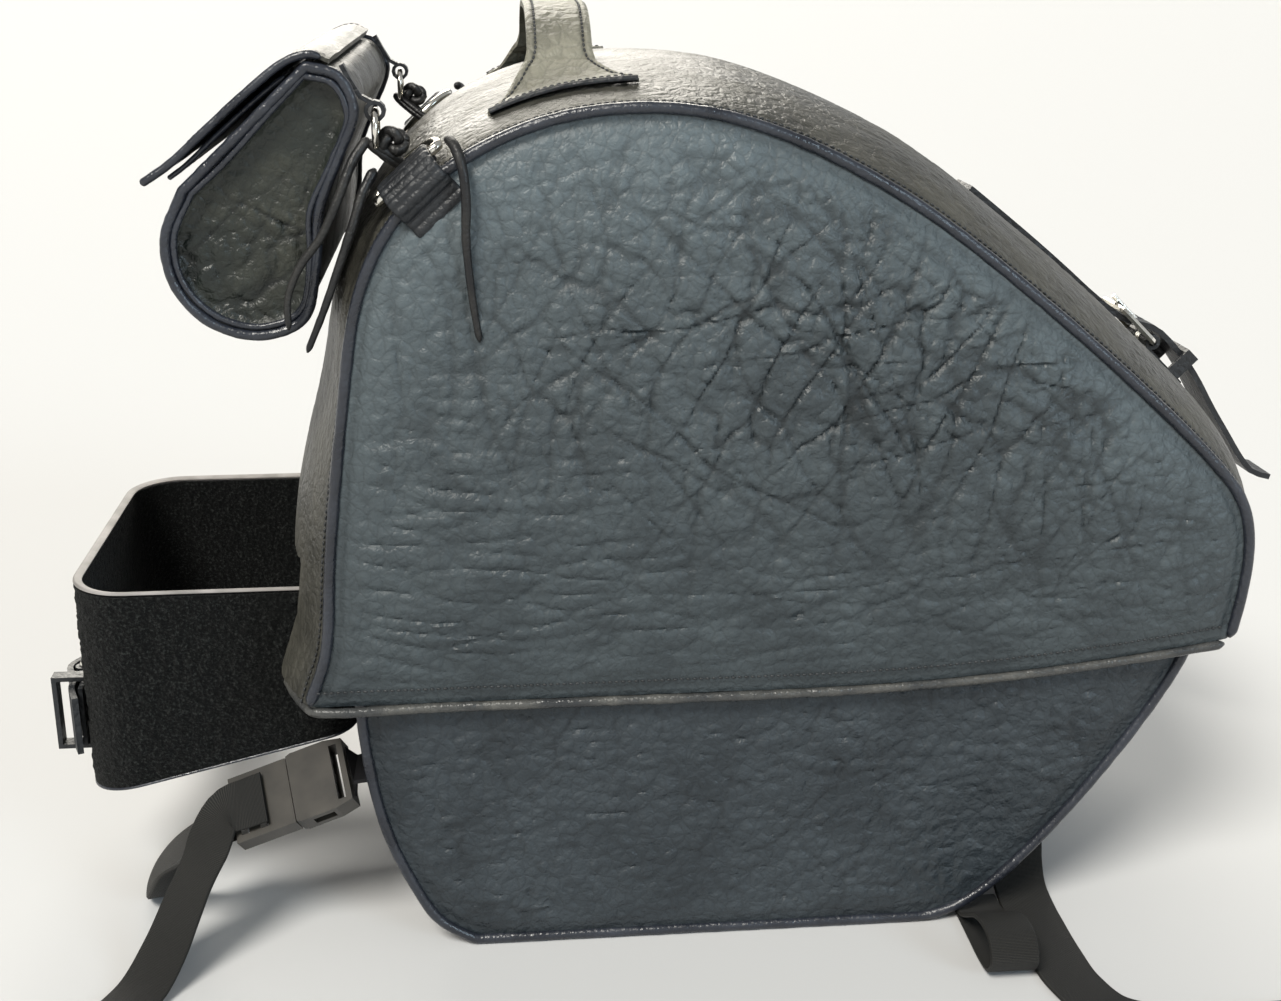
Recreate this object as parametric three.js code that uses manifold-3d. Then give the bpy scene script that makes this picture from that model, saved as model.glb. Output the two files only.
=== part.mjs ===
// A leather travel bag for a motorcycle sissy bar: an open tub under a deep crowned lid, a small
// barrel roll laced to the lid's front edge, and a wide fabric band that wraps a backrest pad.
// Frame: millimetres, +X to the rear, +Z up, the bag's left side at -Y, the tub's flat base at Z = 0.

import * as THREE from 'three';
import { mergeVertices } from 'three/addons/utils/BufferGeometryUtils.js';
import Module from 'manifold-3d';

const wasm = await Module();
wasm.setup();

// ---- driving dimensions ----

const LID_HALF = 145;           // half width of the lid over its side panels
const BODY_HALF = 134;          // half width of the tub
const WALL = 4;                 // leather on a stiffener
const GAP = 0.3;                // between pieces that touch
const PIPING = 3.5;             // radius of the big bag's piping
const HEM = 3;                  // radius of the rolled hem
const RIM_Z = 190;              // top edge of the tub
const HEM_Z = 139;              // lower edge of the lid along its front two thirds
const HEM_RISE = 18;            // and how much it climbs to the rear corner
const HEM_RISE_X = 225;

const NOTCH = { half: 102, top: 197 };            // cut out of the lid's front skirt for the band
const BAND = {
  front: -343, back: -204.5, half: 95, bottom: 70, top: 178, thick: 5, corner: 30, backCorner: 14, edge: 3,
  climb: 0.24,        // how fast its lower edge rises towards the bag
};
// The bend is where the strap leaves the front face and turns along the side: X behind the front, then Y.
const BAND_STRAP = {
  y: -28, z: 104, width: 32, bend: [[-8, 56], [-6.6, 68], [-2.5, 79]],
};
const ROLL = { half: 130, wall: 3, piping: 2.6 };
const TIE = { x: -172, z: 398 };                  // the laced axis that the roll swings about
const RING_SIDE = 120;                            // Y of the laced rings
const RING = { x: -178.5, z: 403.5, radius: 8, wire: 1.6 };
const KNOT = 6.5;
const BASE_BOARD = { from: -121, to: 57, half: 118, thick: 3 };
const HINGE = {
  half: 100, thick: 2.4, line: [[190, 107], [203, 133], [210, 146], [217, 150.6], [228.5, 151]],
};
const DRING = { x: -159, bar: 36, depth: 22, wire: 1.6, tab: 28, inset: 11, lift: 8.4, tilt: 0.13 };
const HANDLE = { x: -96, half: 108, width: 30, base: 62, rise: 21, thick: 4, flare: 30, shoulder: 24 };
const HANDLE_BASE = { length: 66, width: 7, thick: 3.4 };
const BUCKLE = { half: 13, lift: 6.3, wire: 1.8, prong: 1.3, corner: 4 };
const CHAPE = { length: 30, thick: 2.2, wrap: 1.9, notch: 14, gap: 6.6 };       // folded round the heel bar
const KEEPER = { at: 20, length: 8, clear: 1.7, wall: 2.3, foot: 0.6, top: 17.2 };
const LID_STRAP = {
  at: [212.5, 279.8], fall: 0.775, width: 28, from: 96, to: 174,
  tail: [[34, 12.4], [48, 10], [66, 5.5], [84, 1.8], [100, -1.4], [112, -2.2], [122, 2.8]],
};
const WEBBING = { width: 28, thick: 2 };
const LACE = 2.6;                                 // radius of a rolled leather lace
const CLIP = { x: -236, y: 115, z: 79, tilt: 0.93, droop: -0.35, width: 38, thick: 11, length: 31 };
const CLIP_FORK = { reach: 23, pitch: 11, half: 2.6 };                        // three prongs on the plug
const CLIP_BARS = [[-27, -23], [-17, -13]];       // slots that the webbing threads through

// Free straps and laces, as points from where they leave the bag; Y is the distance from the middle.
const FRONT_STRAP = [[-281, 111, 58], [-292, 105, 41], [-300, 95, 21], [-306, 80, 5], [-309, 61, 1.6],
  [-308, 40, 1.4], [-302, 18, 1.4], [-290, 0, 1.4], [-271, -11, 1.4], [-248, -14, 1.4]];
const FRONT_TAIL = [[-279, 130, 54], [-288, 139, 36], [-297, 150, 17], [-306, 164, 4.4], [-315, 180, 1.6],
  [-322, 198, 1.4], [-321, 215, 1.4], [-308, 227, 1.4], [-284, 232, 1.4], [-250, 233, 1.4], [-215, 233, 1.4],
  [-180, 232, 1.4]];
const REAR_LOOP = [[120, 3.6], [130, 3.6], [138, 5], [148, 10.5], [160, 18], [174, 22], [186, 20.5],
  [192, 12.5], [187, 4.6], [174, 1.4], [152, 1.3], [127, 1.3]];
const REAR_TAIL = [[140, 104, 25.5], [140, 107, 15], [140, 114, 6], [140, 128, 2.4], [140, 146, 1.4],
  [140, 170, 1.4], [142, 196, 1.4], [152, 220, 1.4], [176, 232, 1.4], [206, 234, 1.4], [240, 234, 1.4]];
const LID_LACE = [[-147.5, 141, 402], [-144, 150, 399], [-141, 154.5, 390], [-140, 155.5, 377],
  [-140.5, 155, 361], [-139.5, 154, 344], [-138, 153, 329], [-136, 152, 315]];
const END_LACE = [[-181.5, 130, 401], [-188.5, 134.5, 391], [-195, 138, 376], [-203, 138.5, 360],
  [-213, 138.5, 347], [-219, 138.5, 333], [-219.5, 138.5, 319]];
const GAP_LACE = [[-179, 131.5, 388], [-184.5, 135.5, 378], [-189.5, 138.5, 364], [-196.5, 139, 346],
  [-204, 139.5, 327], [-212, 139.5, 309]];

// Each row is X, Z and how far the gusset crowns outward there at mid width.
const LID_OUTLINE = [
  [-228, 112, 26], [-221, 140, 27], [-212, 166, 28], [-207, 215, 25], [-199, 275, 18],
  [-188, 335, 15], [-172, 366, 14], [-146, 390, 14], [-104, 409, 13], [-57, 414, 14],
  [-13, 406, 18], [50, 376, 23], [126, 320, 25], [205, 250, 25], [223, 228, 23],
  [229, 205, 21], [226, 165, 20], [216, 130, 18],
];
const BODY_FRONT = [[-199, 240], [-199, 150], [-196, 104], [-189, 67], [-178, 38], [-165, 15], [-148, 3]];
const BODY_REAR = [[60, 0], [92, 5], [112, 16], [150, 56], [192, 116], [208, 148], [214, 180], [215, 240]];
const ROLL_OUTLINE = [
  [-262, 379], [-271, 358], [-268, 337], [-254, 321], [-233, 315], [-214, 322],
  [-207, 345], [-204, 370], [-194, 394], [-187, 413], [-193, 427], [-206, 431],
];

const FLAP = [[-196.5, 433], [-204, 436], [-214, 433.5], [-230, 422], [-250, 405], [-266, 391], [-278, 383]];
const FLAP_LINING = [[-214, 428], [-228, 417.5], [-247, 401.5], [-261, 389], [-268, 384]];

// ---- solids ----

function toSolid(geometry) {
  const bare = geometry.clone();
  bare.deleteAttribute('normal');
  bare.deleteAttribute('uv');
  const merged = mergeVertices(bare, 1e-4);
  return new wasm.Manifold(new wasm.Mesh({
    numProp: 3,
    vertProperties: new Float32Array(merged.attributes.position.array),
    triVerts: new Uint32Array(merged.index.array),
  }));
}

function toGeometry(solid) {
  const { vertProperties, triVerts } = solid.getMesh();
  const geometry = new THREE.BufferGeometry();
  geometry.setAttribute('position', new THREE.BufferAttribute(vertProperties, 3));
  geometry.setIndex(new THREE.BufferAttribute(triVerts, 1));
  geometry.computeVertexNormals();
  return geometry;
}

const cut = (geometry, ...tools) =>
  toGeometry(tools.reduce((solid, tool) => solid.subtract(toSolid(tool)), toSolid(geometry)));
const join = (geometry, ...more) =>
  toGeometry(more.reduce((solid, next) => solid.add(toSolid(next)), toSolid(geometry)));

const FAR = 600;                                  // larger than anything that a cutting tool has to pass
const box = (x, y, z, at) => new THREE.BoxGeometry(x, y, z).translate(...at);

// A surface through rings of equally many points, closed at both ends or joined into a loop.
function loft(rings, looped = false) {
  const count = rings[0].length;
  const positions = rings.flat().flatMap((p) => [p.x, p.y, p.z]);
  const index = [];
  const last = looped ? rings.length : rings.length - 1;
  for (let r = 0; r < last; r++) {
    for (let i = 0; i < count; i++) {
      const a = r * count + i;
      const b = r * count + ((i + 1) % count);
      const c = ((r + 1) % rings.length) * count + i;
      const d = ((r + 1) % rings.length) * count + ((i + 1) % count);
      index.push(a, b, c, b, d, c);
    }
  }
  if (!looped) {
    for (const [ring, start, flip] of [[rings[0], 0, true], [rings.at(-1), last * count, false]]) {
      const centre = ring.reduce((sum, p) => sum.add(p), new THREE.Vector3()).divideScalar(count);
      const hub = positions.length / 3;
      positions.push(centre.x, centre.y, centre.z);
      for (let i = 0; i < count; i++) {
        const pair = [start + i, start + ((i + 1) % count)];
        index.push(hub, ...(flip ? pair.reverse() : pair));
      }
    }
  }
  const geometry = new THREE.BufferGeometry();
  geometry.setAttribute('position', new THREE.Float32BufferAttribute(positions, 3));
  geometry.setIndex(index);
  return facingOut(geometry);
}

function facingOut(geometry) {
  const p = geometry.attributes.position;
  const corner = (i) => new THREE.Vector3().fromBufferAttribute(p, geometry.index.getX(i));
  let volume = 0;
  for (let i = 0; i < geometry.index.count; i += 3) {
    volume += corner(i).dot(corner(i + 1).cross(corner(i + 2)));
  }
  if (volume < 0) geometry.index.array.reverse();
  geometry.computeVertexNormals();
  return geometry;
}

// Sweeps a section, given as [across, along up] pairs, down a line of points without twisting it.
function sweep(points, section, up = new THREE.Vector3(0, 1, 0), looped = false) {
  const count = points.length;
  const lift = up.clone();
  const rings = points.map((point, i) => {
    const before = points[looped ? (i + count - 1) % count : Math.max(i - 1, 0)];
    const after = points[looped ? (i + 1) % count : Math.min(i + 1, count - 1)];
    const tangent = after.clone().sub(before).normalize();
    lift.addScaledVector(tangent, -lift.dot(tangent)).normalize();
    const side = tangent.clone().cross(lift);
    return section.map(([a, b]) => point.clone().addScaledVector(side, a).addScaledVector(lift, b));
  });
  return loft(rings, looped);
}

const round = (radius, sides = 8) => Array.from({ length: sides }, (_, i) => {
  const angle = (2 * Math.PI * i) / sides;
  return [radius * Math.cos(angle), radius * Math.sin(angle)];
});
const flat = (thick, width) => [[-thick / 2, -width / 2], [thick / 2, -width / 2], [thick / 2, width / 2],
  [-thick / 2, width / 2]];

// An outline of [x, z] points as a slab that runs from y0 to y1.
function slab(outline, y0, y1) {
  const shape = new THREE.Shape(outline.map(([x, z]) => new THREE.Vector2(x, z)));
  return new THREE.ExtrudeGeometry(shape, { depth: y1 - y0, bevelEnabled: false, curveSegments: 8 })
    .rotateX(Math.PI / 2).translate(0, y1, 0);
}

const inPlane = (points, y = 0) => points.map(([x, z]) => new THREE.Vector3(x, y, z));
const smooth = (points, steps) =>
  new THREE.CatmullRomCurve3(points, false, 'centripetal').getSpacedPoints(steps);

const SIDES = [['near', -1], ['far', 1]];

const parts = new THREE.Group();
function add(name, geometry, finish, parent = parts) {
  const mesh = new THREE.Mesh(geometry, new THREE.MeshStandardMaterial(FINISH[finish]));
  mesh.name = name;
  parent.add(mesh);
  return mesh;
}

const FINISH = {
  leather: { color: 0x2a2f33, roughness: 0.45, metalness: 0 },
  pale: { color: 0x6f6d5e, roughness: 0.4, metalness: 0 },
  piping: { color: 0x17191b, roughness: 0.35, metalness: 0 },
  loop: { color: 0x0d0e0e, roughness: 0.95, metalness: 0 },
  webbing: { color: 0x1b1b1c, roughness: 0.8, metalness: 0 },
  plastic: { color: 0x1c1b1a, roughness: 0.35, metalness: 0 },
  nickel: { color: 0xc9ccd0, roughness: 0.2, metalness: 1 },
  board: { color: 0x54483a, roughness: 0.8, metalness: 0 },
};

// ---- the outlines ----

const lidCurve = new THREE.CatmullRomCurve3(
  LID_OUTLINE.map(([x, z, crown]) => new THREE.Vector3(x, crown, z)), false, 'centripetal');
const LID_STEPS = 38;
const lidStations = lidCurve.getSpacedPoints(LID_STEPS).map((p, i) => {
  const t = lidCurve.getTangentAt(i / LID_STEPS);
  const length = Math.hypot(t.x, t.z);
  return { x: p.x, z: p.z, crown: p.y, nx: -t.z / length, nz: t.x / length };
});

// The gusset is level across most of its width and drops to the outline at both edges.
const crownShare = (y) => 1 - Math.abs(y / LID_HALF) ** 3;
const lidPoint = (s, y, out = 0) => new THREE.Vector3(
  s.x + s.nx * (s.crown * crownShare(y) + out), y, s.z + s.nz * (s.crown * crownShare(y) + out));
const topStation = (x) => lidStations.filter((s) => s.z > 300)
  .reduce((a, b) => (Math.abs(b.x - x) < Math.abs(a.x - x) ? b : a));
const hemZ = (x) => HEM_Z + HEM_RISE * Math.max(0, x / HEM_RISE_X) ** 2;

const bodyFront = smooth(inPlane(BODY_FRONT), 12).map((p) => [p.x, p.z]);
const bodyRear = smooth(inPlane(BODY_REAR), 16).map((p) => [p.x, p.z]);
const bodyOutline = [...bodyFront, [-128, 0], ...bodyRear];

// The outline moved inward by some distance, for the inside of a wall.
function inset(outline, distance) {
  return outline.map(([x, z], i) => {
    const [x0, z0] = outline[(i + outline.length - 1) % outline.length];
    const [x1, z1] = outline[(i + 1) % outline.length];
    const length = Math.hypot(x1 - x0, z1 - z0);
    const turn = THREE.ShapeUtils.isClockWise(outline.map(([a, b]) => new THREE.Vector2(a, b))) ? 1 : -1;
    return [x + (turn * (z1 - z0) * distance) / length, z - (turn * (x1 - x0) * distance) / length];
  });
}

// ---- tub ----

function buildTub() {
  const inner = inset(bodyOutline, WALL);
  const low = bodyOutline.filter(([, z]) => z < RIM_Z).map(([x, z]) => [x, Math.max(z, PIPING)]);
  const pipingLine = (side) => inPlane(low, side * BODY_HALF);
  const above = box(FAR, FAR, FAR, [0, 0, RIM_Z + FAR / 2]);
  const grooves = [-1, 1].map((side) => sweep(pipingLine(side), round(PIPING + GAP, 6)));
  add('body_shell', cut(slab(bodyOutline, -BODY_HALF, BODY_HALF),
    slab(inner, WALL - BODY_HALF, BODY_HALF - WALL), above, ...grooves), 'leather');
  for (const [name, side] of SIDES) {
    add(`body_piping_${name}`, sweep(pipingLine(side), round(PIPING, 6)), 'piping');
  }
  const { from, to, half, thick } = BASE_BOARD;
  add('base_board', box(to - from, 2 * half, thick, [(from + to) / 2, 0, WALL + GAP + thick / 2]), 'board');
}

// ---- lid ----

function lidSkin(out, half) {
  const rows = 10;
  const rings = [];
  for (let j = 0; j <= rows; j++) {
    const y = half * Math.sin((Math.PI / 2) * (-1 + (2 * j) / rows));
    rings.push(lidStations.map((s) => lidPoint(s, y, out)));
  }
  return loft(rings);
}

function buildLid() {
  const rise = [0, 60, 120, 175, HEM_RISE_X].map((x) => [x, hemZ(x)]);
  const below = slab([[-FAR, -FAR], [-FAR, HEM_Z], ...rise, [FAR, hemZ(HEM_RISE_X)], [FAR, -FAR]], -FAR, FAR);
  const notch = box(FAR, 2 * NOTCH.half, FAR, [-FAR / 2 - 100, 0, NOTCH.top - FAR / 2]);
  const edge = lidStations.filter((s) => s.z > hemZ(s.x) + 1);
  const edgeLine = (side) => edge.map((s) => lidPoint(s, side * LID_HALF));
  const grooves = [-1, 1].map((side) => sweep(edgeLine(side), round(PIPING + GAP, 6)));
  const skins = [lidSkin(0, LID_HALF), lidSkin(-WALL, LID_HALF - WALL)];
  add('lid_shell', cut(...skins, below, notch, ...grooves), 'leather');
  for (const [name, side] of SIDES) {
    add(`lid_piping_${name}`, sweep(edgeLine(side), round(PIPING, 6)), 'piping');
    add(`lid_hem_${name}`, hem(side), 'piping');
  }
}

// The rolled lower edge: round the front lip, the corner and along the side panel.
function hem(side) {
  const front = LID_OUTLINE[1][0];
  const crown = LID_OUTLINE[1][2];
  const drop = HEM + GAP;
  const y = side * (LID_HALF - WALL / 2);
  const points = [106, 122, 134].map((d) =>
    new THREE.Vector3(front + WALL / 2 - crown * crownShare(d), side * d, HEM_Z - drop));
  for (const x of [-218, -160, -80, 0, 60, 120, 175, 222]) {
    points.push(new THREE.Vector3(x, y, hemZ(x) - drop));
  }
  return sweep(smooth(points, 26), round(HEM, 6), new THREE.Vector3(0, 0, 1));
}

// ---- hinge ----

function buildHinge() {
  add('hinge_strip', sweep(inPlane(HINGE.line), flat(HINGE.thick, 2 * HINGE.half)), 'leather');
}

// ---- handle ----

function buildHandle() {
  const { x, half, width, base, rise, thick } = HANDLE;
  const station = topStation(x);
  const top = (y) => station.z + (station.crown + 1) * crownShare(y);
  const lift = (y) => rise * (1 - Math.min(1, Math.abs(y) / (half - HANDLE.shoulder)) ** 4);
  const rings = [];
  const steps = 22;
  for (let j = 0; j <= steps; j++) {
    const y = -half + (2 * half * j) / steps;
    const flare = Math.max(0, (Math.abs(y) - (half - HANDLE.flare)) / HANDLE.flare) ** 2;
    const w = width + (base - width) * flare;
    const z = top(y) + thick + 0.4 + lift(y) - 1.2 * flare;
    rings.push([[-w / 2, 0], [w / 2, 0], [w / 2, thick], [-w / 2, thick]]
      .map(([dx, dz]) => new THREE.Vector3(x + dx, y, z + dz)));
  }
  add('handle_strap', loft(rings), 'pale');
  for (const [name, side] of SIDES) {
    const y = side * (half + HANDLE_BASE.width / 2 + 0.5);
    const bar = box(HANDLE_BASE.length, HANDLE_BASE.width, HANDLE_BASE.thick, [0, 0, 0])
      .rotateX(side * -0.22).rotateY(-0.14);
    add(`handle_base_${name}`, bar.translate(x, y, top(y) + 6.2), 'piping');
  }
}

// ---- roll bag ----

const rollFront = smooth(inPlane(ROLL_OUTLINE), 26).map((p) => [p.x, p.z]);
const MOUTH = { from: ROLL_OUTLINE[0], to: ROLL_OUTLINE.at(-1) };

function buildRoll() {
  const { half, wall, piping } = ROLL;
  const [[x0, z0], [x1, z1]] = [MOUTH.from, MOUTH.to];
  const angle = Math.atan2(z1 - z0, x1 - x0);
  const mouth = box(Math.hypot(x1 - x0, z1 - z0) - 9, 2 * (half - 9), 16, [0, 0, 0])
    .rotateY(-angle).translate((x0 + x1) / 2, 0, (z0 + z1) / 2);
  const loop = (side) => inPlane(rollFront, side * half);
  const ring = (side, radius) => sweep(loop(side), round(radius, 6), undefined, true);
  add('roll_shell', cut(slab(rollFront, -half, half), slab(inset(rollFront, wall), wall - half, half - wall),
    mouth, ring(-1, piping + GAP), ring(1, piping + GAP)), 'leather');
  for (const [name, side] of SIDES) {
    add(`roll_piping_${name}`, ring(side, piping), 'piping');
    add(`roll_ring_tab_${name}`, ringTab(side), 'leather');
    add(`roll_ring_${name}`, rollRing(side, RING.wire), 'nickel');
    const knot = new THREE.SphereGeometry(KNOT, 12, 8).translate(TIE.x, side * RING_SIDE, TIE.z);
    add(`lace_knot_${name}`, cut(knot, rollRing(side, RING.wire + GAP)), 'leather');
  }
  add('roll_flap', sweep(smooth(inPlane(FLAP), 14), flat(3.4, 2 * half - 2)), 'pale');
  add('flap_lining', sweep(smooth(inPlane(FLAP_LINING), 8), flat(1.8, 2 * half - 16)), 'leather');
}

const rollRing = (side, wire) => new THREE.TorusGeometry(RING.radius, wire, 6, 16)
  .rotateY(Math.PI / 2).translate(RING.x, side * RING_SIDE, RING.z);

// A strip sewn down on the roll whose end folds round the top of the ring.
function ringTab(side) {
  const top = RING.z + RING.radius;
  const y = side * RING_SIDE;
  const strip = [[RING.x - 1.5, top + 3.8], [RING.x - 6, top + 6.2], [-188.6, 424.6], [-192, 431.2]];
  return join(eyelet(RING.x, top, RING.wire + 1.3, 4.7, y - 3.5, y + 3.5),
    sweep(inPlane(strip, y), flat(2, 7)));
}

// A fold round a bar that runs along Y: a tube with the bar's clearance inside.
function eyelet(x, z, inner, outer, y0, y1) {
  const shape = new THREE.Shape().absarc(0, 0, outer, 0, 2 * Math.PI);
  shape.holes.push(new THREE.Path().absarc(0, 0, inner, 0, 2 * Math.PI));
  return new THREE.ExtrudeGeometry(shape, { depth: y1 - y0, bevelEnabled: false, curveSegments: 6 })
    .rotateX(Math.PI / 2).translate(x, y1, z);
}

// ---- D-rings on the lid ----

// A frame at the lid's front top corner: x along the edge, y across the bag, z out of the gusset.
function cornerFrame() {
  const s = topStation(DRING.x);
  const along = new THREE.Vector3(s.nz, 0, -s.nx);
  const out = new THREE.Vector3(s.nx, 0, s.nz);
  const matrix = new THREE.Matrix4().makeBasis(along, new THREE.Vector3(0, 1, 0), out);
  return matrix.setPosition(s.x, 0, s.z);
}

function buildRings() {
  const frame = cornerFrame();
  const { bar, depth, wire, tab, inset, lift, tilt } = DRING;
  const barY = LID_HALF - inset;
  for (const [name, side] of SIDES) {
    const path = [];
    for (let i = 0; i <= 10; i++) {
      const angle = (Math.PI * i) / 10;
      path.push(new THREE.Vector3((bar / 2) * Math.cos(angle), -side * depth * Math.sin(angle) ** 0.8, 0));
    }
    path.push(new THREE.Vector3(0, 0, 0));
    const ring = sweep(path, round(wire, 6), new THREE.Vector3(0, 0, 1), true);
    ring.rotateX(-side * tilt).translate(0, side * barY, lift).applyMatrix4(frame);
    add(`dring_${name}`, facingOut(ring), 'nickel');
    const line = [[2.6, -14], [2.8, -6], [6.1, -1], [5.8, 4], [0, 9.4], [-6, 11.6], [-11.5, 11.8]];
    const strip = sweep(smooth(line.map(([y, z]) => new THREE.Vector3(0, side * (LID_HALF + y), z)), 14),
      flat(2.6, tab), new THREE.Vector3(1, 0, 0));
    const fold = eyelet(0, 0, wire + 0.5, 4, -tab / 2, tab / 2).rotateZ(Math.PI / 2)
      .translate(0, side * barY, lift);
    add(`dring_tab_${name}`, join(strip, fold).applyMatrix4(frame), 'leather');
  }
}

// ---- belt buckles ----

// In the buckle's own frame x runs down the strap, y across it and z out of the leather below.
// The heel bar is at +x, the strap comes from -x under the front bar and over the heel bar.
function buckle(prefix, place, width, finish) {
  const group = new THREE.Group();
  group.applyMatrix4(place);
  parts.add(group);
  const { half, lift, wire, prong, corner } = BUCKLE;
  const side = width / 2 + 2 * wire;
  const path = [];
  for (const [turn, sx, sy] of [[0, 1, 1], [1, -1, 1], [2, -1, -1], [3, 1, -1]]) {
    for (let i = 0; i <= 3; i++) {
      const angle = (Math.PI / 2) * (turn + i / 3);
      const x = sx * (half - corner) + corner * Math.cos(angle);
      const y = sy * (side - corner) + corner * Math.sin(angle);
      path.push(new THREE.Vector3(x, y, lift));
    }
  }
  const frame = sweep(path, round(wire, 6), new THREE.Vector3(0, 0, 1), true);
  add(`${prefix}_buckle_frame`, frame, 'nickel', group);
  const rod = new THREE.CylinderGeometry(prong, prong, 2 * half + 3, 8).rotateZ(Math.PI / 2)
    .translate(-2.5, 0, lift + wire + prong + GAP);
  const eye = eyelet(half, lift, wire + GAP, wire + 2.1, -2 * prong, 2 * prong);
  add(`${prefix}_buckle_prong`, join(eye, rod), 'nickel', group);
  const fold = eyelet(half, lift, wire + 0.5, wire + 0.5 + CHAPE.wrap, -width / 2, width / 2);
  const tab = box(CHAPE.length, width, CHAPE.thick, [half + 14, 0, 1.9]);
  const chape = cut(join(fold, tab), box(CHAPE.notch, CHAPE.gap, 16, [half - 1, 0, lift]));
  add(`${prefix}_buckle_chape`, chape, finish, group);
  const { at, length, clear, wall, foot, top } = KEEPER;
  const bridge = box(length, width + 2 * (clear + wall), top - foot, [half + at, 0, (foot + top) / 2]);
  const tunnel = box(length + 2, width + 2 * clear, 15, [half + at, 0, top - 2.4 - 7.5]);
  add(`${prefix}_keeper`, cut(bridge, tunnel), finish, group);
}

// The strap's middle plane through a buckle, in the buckle's frame.
const THROUGH = [[-46, 2.3], [-30, 2.3], [-15, 2.3], [-8, 4], [0, 8], [8, 12.2], [14, 13], [24, 13]];
const SLOT = { from: -3, to: 16, half: 2 };

function buildLidStrap() {
  const { at, fall, width } = LID_STRAP;
  const down = new THREE.Vector3(Math.cos(fall), 0, -Math.sin(fall));
  const out = new THREE.Vector3(Math.sin(fall), 0, Math.cos(fall));
  const place = new THREE.Matrix4().makeBasis(down, new THREE.Vector3(0, 1, 0), out);
  place.setPosition(at[0], 0, at[1]);
  buckle('lid', place, width, 'leather');
  const above = lidStations.filter((s) => s.x > LID_STRAP.from && s.x < LID_STRAP.to && s.z > 200)
    .map((s) => lidPoint(s, 0, 2.4));
  const through = [...THROUGH.slice(2), ...LID_STRAP.tail]
    .map(([x, z]) => new THREE.Vector3(x, 0, z).applyMatrix4(place));
  const slot = box(SLOT.to - SLOT.from, 2 * SLOT.half, 30, [(SLOT.from + SLOT.to) / 2, 0, 8]);
  const strap = sweep(smooth([...above, ...through], 40), flat(3, width));
  add('lid_strap', cut(strap, slot.applyMatrix4(place)), 'leather');
}

// ---- backrest band ----

// A rounded rectangle seen from above, its front corners wide and its back corners tight.
function bandOutline(out) {
  const { front, back, half, corner, backCorner } = BAND;
  const shape = new THREE.Shape();
  const x0 = front - out;
  const x1 = back + Math.min(out, 0);
  const y = half + out;
  const r0 = corner + out;
  const r1 = backCorner + out;
  shape.absarc(x0 + r0, y - r0, r0, Math.PI / 2, Math.PI);
  shape.absarc(x0 + r0, r0 - y, r0, Math.PI, 1.5 * Math.PI);
  shape.absarc(x1 - r1, r1 - y, r1, -Math.PI / 2, 0);
  shape.absarc(x1 - r1, y - r1, r1, 0, Math.PI / 2);
  return shape;
}

function bandRing(out, within, z0, z1) {
  const shape = bandOutline(out);
  shape.holes.push(new THREE.Path(bandOutline(within).getPoints(4)));
  return new THREE.ExtrudeGeometry(shape, { depth: z1 - z0, bevelEnabled: false, curveSegments: 4 })
    .translate(0, 0, z0);
}

// The lower half of the band lifted along its slanting lower edge.
function climbing(geometry) {
  const { front, bottom, top, climb } = BAND;
  const place = geometry.attributes.position;
  for (let i = 0; i < place.count; i++) {
    if (place.getZ(i) < (bottom + top) / 2) place.setZ(i, place.getZ(i) + climb * (place.getX(i) - front));
  }
  return geometry;
}

function buildBand() {
  const { front, back, half, bottom, top, thick, edge, climb } = BAND;
  add('wrap_band', climbing(bandRing(0, -thick, bottom, top)), 'loop');
  add('band_binding_top', bandRing(0, -thick, top + GAP, top + edge), 'piping');
  add('band_binding_bottom', climbing(bandRing(0, -thick, bottom - edge, bottom - GAP)), 'piping');
  const low = bottom + climb * (back - front);
  const face = bodyFront.filter(([, z]) => z > low - 6 && z < top + 10).map(([x, z]) => [x - 0.5, z]);
  const outer = back + GAP;
  const profile = [[outer, face[0][1]], ...face, [outer, face.at(-1)[1]]];
  add('front_panel', slab(profile, 3 - half, half - 3), 'leather');

  const { y, z, width, bend } = BAND_STRAP;
  const place = new THREE.Matrix4().makeBasis(new THREE.Vector3(0, -1, 0), new THREE.Vector3(0, 0, 1),
    new THREE.Vector3(-1, 0, 0)).setPosition(front, y, z);
  buckle('band', place, width, 'leather');
  const flatRun = THROUGH.map(([a, out]) => new THREE.Vector3(front - out, y - a, z));
  const sag = (across) => 0.002 * (across - bend[0][1]) ** 2;
  const turned = bend.map(([x, across]) => new THREE.Vector3(front + x, -across, z - sag(across)));
  const line = [new THREE.Vector3(front - 2.3, 54, z), ...flatRun.slice(0, 7), ...turned];
  const slot = box(SLOT.to - SLOT.from, 2 * SLOT.half, 30, [(SLOT.from + SLOT.to) / 2, 0, 8]);
  const strap = sweep(smooth(line, 40), flat(3, width), new THREE.Vector3(0, 0, 1));
  add('band_strap', cut(strap, slot.applyMatrix4(place)), 'leather');
}

// ---- webbing ----

const FLOOR = WEBBING.thick / 2 + 0.2;

// A flat strap whose width turns from a starting direction to level as it comes to lie down.
function webbing(points, start, steps) {
  const line = smooth(points, steps);
  let across = start;
  const rings = line.map((p, i) => {
    const t = line[Math.min(i + 1, steps)].clone().sub(line[Math.max(i - 1, 0)]).normalize();
    const level = new THREE.Vector3(0, 0, 1).cross(t).normalize();
    if (level.dot(across) < 0) level.negate();
    const share = THREE.MathUtils.smoothstep(i / steps, 0, 0.25);
    across = start.clone().lerp(level, share);
    across.addScaledVector(t, -across.dot(t)).normalize();
    const face = t.clone().cross(across);
    return flat(WEBBING.thick, WEBBING.width).map(([a, b]) =>
      p.clone().addScaledVector(face, a).addScaledVector(across, b));
  });
  return loft(rings);
}

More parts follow.
